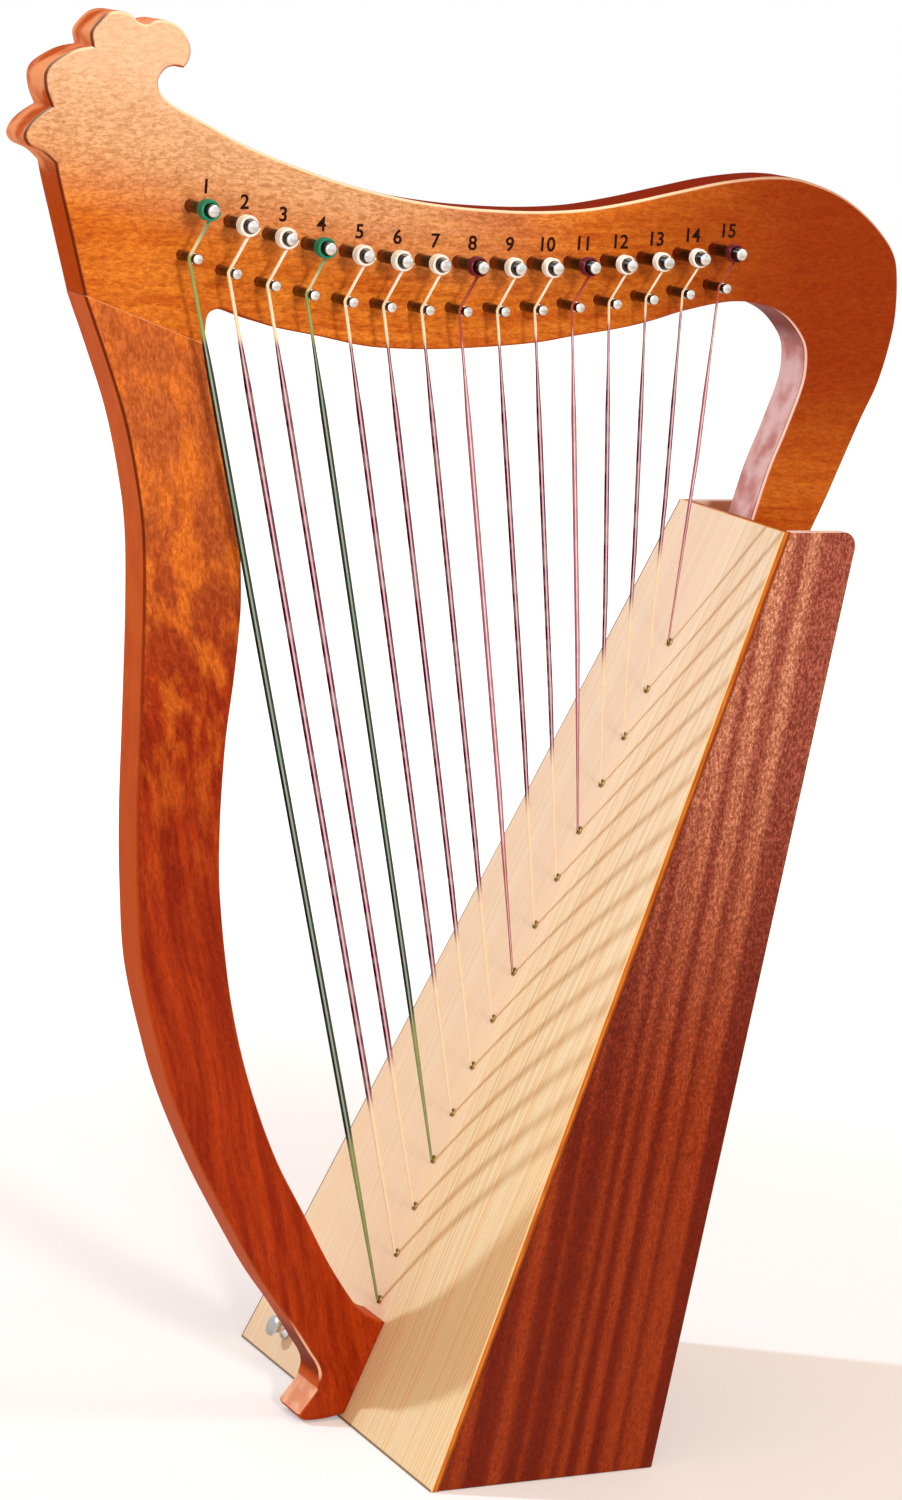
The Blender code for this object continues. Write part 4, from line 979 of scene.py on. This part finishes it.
def build_soundboard():
    """The bellied soundboard with its stained edge, which carries a painted highlight line, and string
    holes.
    """
    rows = [0.0] + [BELLY_BOTTOM + (BOX_HEIGHT - BELLY_BOTTOM) * index / BOARD_ROWS
                    for index in range(BOARD_ROWS + 1)]
    shares = [-math.cos(math.pi * index / BOARD_COLUMNS) for index in range(BOARD_COLUMNS + 1)]
    bm = bmesh.new()
    layers = [[[bm.verts.new((board_face(z, depth, share), share * half_width(z), z)) for share in shares]
               for z in rows] for depth in (0.0, BOARD_THICKNESS)]
    for layer in layers:
        for low, high in zip(layer, layer[1:]):
            for column in range(BOARD_COLUMNS):
                bm.faces.new((low[column], low[column + 1], high[column + 1], high[column]))
    rims = [layer[0] + [line[-1] for line in layer[1:]] + layer[-1][-2::-1]
            + [line[0] for line in layer[-2:0:-1]] for layer in layers]
    for index in range(len(rims[0])):
        after = (index + 1) % len(rims[0])
        edge = bm.faces.new((rims[0][index], rims[0][after], rims[1][after], rims[1][index]))
        edge.material_index = 1
    board = piece("soundboard_wood", bm, (BOARD_WOOD, BOARD_EDGE), "soundboard")
    holes = [string_hole(index) for index in range(STRING_COUNT)]
    runs = [(hole - BOARD_OUT * (BOARD_THICKNESS + 2 * CUT_BEYOND), hole + BOARD_OUT * BOARD_THICKNESS)
            for hole in holes]
    carve(board, [bores("string_holes", runs, STRING_HOLE_RADIUS, STRING_HOLE_SIDES)])
    soften(board, BOARD_EDGE_RADIUS)


def build_eyelets():
    """A small brass eyelet round each string hole."""
    wall = STRING_HOLE_RADIUS - 0.00015
    rim = STRING_HOLE_RADIUS + EYELET_FLANGE
    section = [(0.0001, wall), (0.0003, rim), (0.0007, rim - 0.00015), (0.0009, rim - 0.0005),
               (0.0008, wall + 0.0001)]
    bm = bmesh.new()
    for index in range(STRING_COUNT):
        stack(bm, [around(string_hole(index), BOARD_OUT, radius, height, EYELET_SIDES)
                   for height, radius in section], ends=False)
    piece("eyelets", bm, BRASS, sharp=50.0)


# Pins, button and numbers

def build_pins():
    """Bright tuning pins that turn, and fixed bridge pins with a groove for the string."""
    tuning = [(-TUNING_SEAT_DEPTH, TUNING_RADIUS - 0.0006), (-TUNING_SEAT_DEPTH + 0.0006, TUNING_RADIUS),
              (TUNING_OUT - 0.0008, TUNING_RADIUS), (TUNING_OUT - 0.0004, TUNING_RADIUS - 0.00015),
              (TUNING_OUT - 0.0001, TUNING_RADIUS - 0.0005), (TUNING_OUT, TUNING_RADIUS - 0.001)]
    bridge = [(-BRIDGE_SEAT_DEPTH, BRIDGE_RADIUS)]
    for step in range(13):
        angle = math.pi * step / 12
        dip = (BRIDGE_RADIUS - BRIDGE_GROOVE_RADIUS) * math.sin(angle)
        bridge.append((BRIDGE_GROOVE_OUT - GROOVE_HALF_WIDTH * math.cos(angle), BRIDGE_RADIUS - dip))
    bridge += [(BRIDGE_OUT - 0.0007, BRIDGE_RADIUS), (BRIDGE_OUT - 0.0003, BRIDGE_RADIUS - 0.00015),
               (BRIDGE_OUT, BRIDGE_RADIUS - 0.0007)]
    for index in range(STRING_COUNT):
        number = f"{index + 1:02d}"
        for name, node, row, profile, finish, body in (
                ("turning_pin", "tuning_pin", TUNING_ROW, tuning, TUNING_NICKEL, f"pin_{number}"),
                ("grooved_pin", "bridge_pin", BRIDGE_ROW, bridge, NICKEL, "harp")):
            bm = bmesh.new()
            turned(bm, profile, PIN_SIDES, row_point(row, index), -AXIS_Y)
            piece(f"{name}_{number}", bm, finish, f"{node}_{number}", body=body)


def build_button():
    """The strap button low on the soundboard."""
    edge, waist = BUTTON_RADIUS, BUTTON_NECK_RADIUS
    under_head = BUTTON_HEIGHT - 2 * BUTTON_RIM
    side_of_head = BUTTON_HEIGHT - BUTTON_RIM
    profile = [(0.0, edge - 0.0006), (0.0004, edge - 0.0004), (BUTTON_RIM / 2, edge - 0.0008),
               (BUTTON_RIM, waist + 0.0004), (BUTTON_RIM + 0.0008, waist), (under_head - 0.0006, waist),
               (under_head + 0.0004, waist + 0.0007), (side_of_head - 0.0002, edge - 0.0006),
               (side_of_head + 0.0003, edge), (BUTTON_HEIGHT - 0.0007, edge - 0.0001),
               (BUTTON_HEIGHT - 0.0002, edge - 0.001), (BUTTON_HEIGHT, edge - 0.0025)]
    bm = bmesh.new()
    side = half_width(BUTTON_PLACE * math.sin(BOARD_ANGLE)) - BUTTON_EDGE_SPACE
    turned(bm, profile, BUTTON_SIDES, board_point(BUTTON_PLACE, SEAM, side), BOARD_OUT)
    piece("button", bm, BUTTON_NICKEL, "strap_button", sharp=40.0)


def build_numbers():
    """A printed number beside each tuning pin."""
    bm = bmesh.new()
    for index in range(STRING_COUNT):
        words = bpy.data.curves.new("number", "FONT")
        words.body = str(index + 1)
        words.size = NUMBER_SIZE
        words.offset = NUMBER_WEIGHT
        words.extrude = NUMBER_DEPTH
        words.align_x = "CENTER"
        words.align_y = "CENTER"
        sample = linked("number", words)
        bpy.context.view_layer.update()
        shape = bpy.data.meshes.new_from_object(sample.evaluated_get(bpy.context.evaluated_depsgraph_get()))
        place = row_point(TUNING_ROW, index) + NUMBER_PLACE
        shape.transform(Matrix.Translation(place) @ Matrix.Rotation(math.pi / 2, 4, "X"))
        bm.from_mesh(shape)
        bpy.data.objects.remove(sample, do_unlink=True)
        bpy.data.meshes.remove(shape)
        bpy.data.curves.remove(words)
    piece("string_numbers", bm, INK)


# Strings

def left_of(direction):
    """The normal on the left of a direction in the XZ plane, seen from -Y."""
    return Vector((-direction.z, 0.0, direction.x)).normalized()


def string_route(index):
    """Points and radii of one string, from its knot in the box to its winding on the pin."""
    thin = string_radius(index)
    held = HELD_SWELL * thin
    free = FREE_SWELL * thin
    hole = string_hole(index)
    groove = row_point(BRIDGE_ROW, index) - AXIS_Y * BRIDGE_GROOVE_OUT
    tuner = row_point(TUNING_ROW, index) - AXIS_Y * WINDING_OUT
    share = RIB_WIDTH / 2 / half_width(hole.z)
    layers = BOARD_THICKNESS + RIB_THICKNESS + belly(hole.z) - belly(hole.z, share) + 2 * SEAM
    points = []
    radii = []
    for step in range(BEND_STEPS + 1):
        place = step / BEND_STEPS
        points.append(hole - BOARD_OUT * (layers + KNOT_LENGTH * (1 - place)))
        radii.append(max(thin, KNOT_RADIUS * math.sin(math.pi * place) ** KNOT_FULLNESS))
    points += [hole, hole + BOARD_OUT * 2 * thin]
    radii += [thin, thin]

    bend = BRIDGE_GROOVE_RADIUS + SEAM + thin
    turn = (TUNING_RADIUS + SEAM + thin) / math.cos(math.pi / LOOP_POINTS)
    rise = (groove - points[-1]).normalized()
    points += [points[-1] + rise * reach for reach in SWELL_STARTS]
    across = Vector((tuner.x - groove.x, 0.0, tuner.z - groove.z))
    lean = math.asin((bend + turn) / across.length)
    leave = Matrix.Rotation(lean, 3, "Y") @ across.normalized()
    arrive = Vector((rise.x, 0.0, rise.z)).normalized()
    rest = groove + left_of(arrive) * bend - points[-1]
    points += [points[-1] + rest * (1 - left / rest.length) for left in SWELL_ENDS]
    radii += [thin, held, free, free, held]
    for step in range(BEND_STEPS + 1):
        direction = arrive.lerp(leave, step / BEND_STEPS)
        points.append(groove + left_of(direction) * bend)
        radii.append(held)

    side = -left_of(leave)
    pitch = 2 * thin + WINDING_SPACE
    start = math.atan2(side.z, side.x)
    for step in range(WINDING_LOOPS * LOOP_POINTS + 1):
        angle = start + 2 * math.pi * step / LOOP_POINTS
        climb = pitch * step / LOOP_POINTS
        points.append(tuner + Vector((turn * math.cos(angle), -climb, turn * math.sin(angle))))
        radii.append(held)
    tail = (points[-1] - points[-2]).normalized()
    return points + [points[-1] + tail * 2 * thin], radii + [thin]


def build_strings():
    """One unbroken smooth line for each string."""
    for index in range(STRING_COUNT):
        points, radii = string_route(index)
        shape = bpy.data.curves.new(f"nylon_{index + 1:02d}", "CURVE")
        shape.dimensions = "3D"
        shape.bevel_depth = string_radius(index)
        shape.bevel_resolution = 3
        shape.use_fill_caps = True
        line = shape.splines.new("POLY")
        line.points.add(len(points) - 1)
        for spot, point, radius in zip(line.points, points, radii):
            spot.co = (*(point + SHIFT), 1.0)
            spot.radius = radius / string_radius(index)
        line.use_smooth = True
        piece(shape.name, shape, NYLON.get(index, CLEAR), f"string_{index + 1:02d}")


def dress_solids():
    """Finish the solids that stay in view."""
    for shade, nodes in ((PANEL_WOOD, ("base_panel",)), (STEEL, ("shoulder_screw", "foot_screw")),
                         (INNER_WOOD, ("string_rib", "brace", "foot_block", "neck_dowel"))):
        for node in nodes:
            for place in NODES[node].material_slots:
                place.material = shade


# Camera, light and floor

def lamp(name, place, aim, size, strength, colour=(1.0, 1.0, 1.0)):
    """A square studio lamp whose strength is the light that reaches its aim, 1 being a white page."""
    light = bpy.data.lights.new(name, "AREA")
    light.size = size
    back = Vector(place) - Vector(aim)
    light.energy = strength * math.pi * math.pi * back.length ** 2
    light.color = colour
    made = linked(name, light)
    made.location = place
    made.rotation_euler = back.to_track_quat("Z", "Y").to_euler()


def build_camera():
    """A camera at the photograph's angle."""
    camera = bpy.data.cameras.new("camera")
    camera.sensor_fit = "VERTICAL"
    camera.sensor_height = CAMERA_SENSOR
    camera.lens = CAMERA_LENS
    camera.clip_start = 0.05
    camera.clip_end = 50.0
    made = linked("camera", camera)
    made.matrix_world = Matrix.Translation(CAMERA_PLACE + SHIFT) @ CAMERA_AXES.transposed().to_4x4()
    bpy.context.scene.camera = made
    bpy.context.scene.view_settings.view_transform = "Standard"


def build_light():
    """Plain soft lamps, and a background that is white to the camera and in reflections."""
    lamp("front_lamp", (-0.25, -2.4, 1.1), (0.0, 0.0, 0.28), 0.3, 0.48, (1.0, 0.98, 0.91))
    lamp("window_lamp", (-1.94, 1.43, 1.98), (0.02, 0.0, 0.2), 0.1, 0.5, (0.72, 0.98, 1.2))
    lamp("overhead_lamp", (0.75, -0.55, 2.00), (0.0, 0.0, 0.45), 0.6, 0.2)
    world = bpy.data.worlds.new("studio")
    bpy.context.scene.world = world
    world.use_nodes = True
    tree = world.node_tree
    rays = add_node(tree, "LightPath").outputs
    seen = rays["Is Camera Ray"]
    for kind in ("Is Glossy Ray", "Is Transmission Ray"):
        seen = add_node(tree, "Math", {0: seen, 1: rays[kind]}, operation="MAXIMUM").outputs[0]
    fill = tree.nodes["Background"]
    fill.inputs["Color"].default_value = (1.1, 0.7, 0.43, 1.0)
    fill.inputs["Strength"].default_value = 0.62
    white = add_node(tree, "Background", {"Color": (1.0, 1.0, 1.0, 1.0)})
    blend = add_node(tree, "MixShader", {0: seen, 1: fill.outputs[0], 2: white.outputs[0]})
    tree.links.new(blend.outputs[0], tree.nodes["World Output"].inputs["Surface"])


def build_floor():
    """A pale floor that brightens to white away from the harp."""
    bm = bmesh.new()
    bmesh.ops.create_grid(bm, x_segments=1, y_segments=1, size=FLOOR_SIZE)
    data = bpy.data.meshes.new("floor")
    bm.to_mesh(data)
    bm.free()
    floor = linked("floor", data)
    floor.location = (0.0, 0.0, -FLOOR_GAP)
    paper = Shade("floor_paper", Base_Color=(0.77, 0.8, 0.84, 1.0), Roughness=0.9,
                  Emission_Color=(1.0, 1.0, 1.0, 1.0))
    reach = paper.node("VectorMath", {0: paper.place}, operation="LENGTH").outputs["Value"]
    seen = paper.node("LightPath").outputs["Is Camera Ray"]
    paper.drive("Emission Strength", paper.times(seen, paper.band(reach, 0.3, 1.1, 0.2, 0.75)))
    data.materials.append(paper.material)


build_camera()
build_light()
build_floor()
build_neck()
build_pillar()
build_glue_line()
build_box()
build_soundboard()
build_eyelets()
build_pins()
build_button()
build_numbers()
build_strings()
dress_solids()
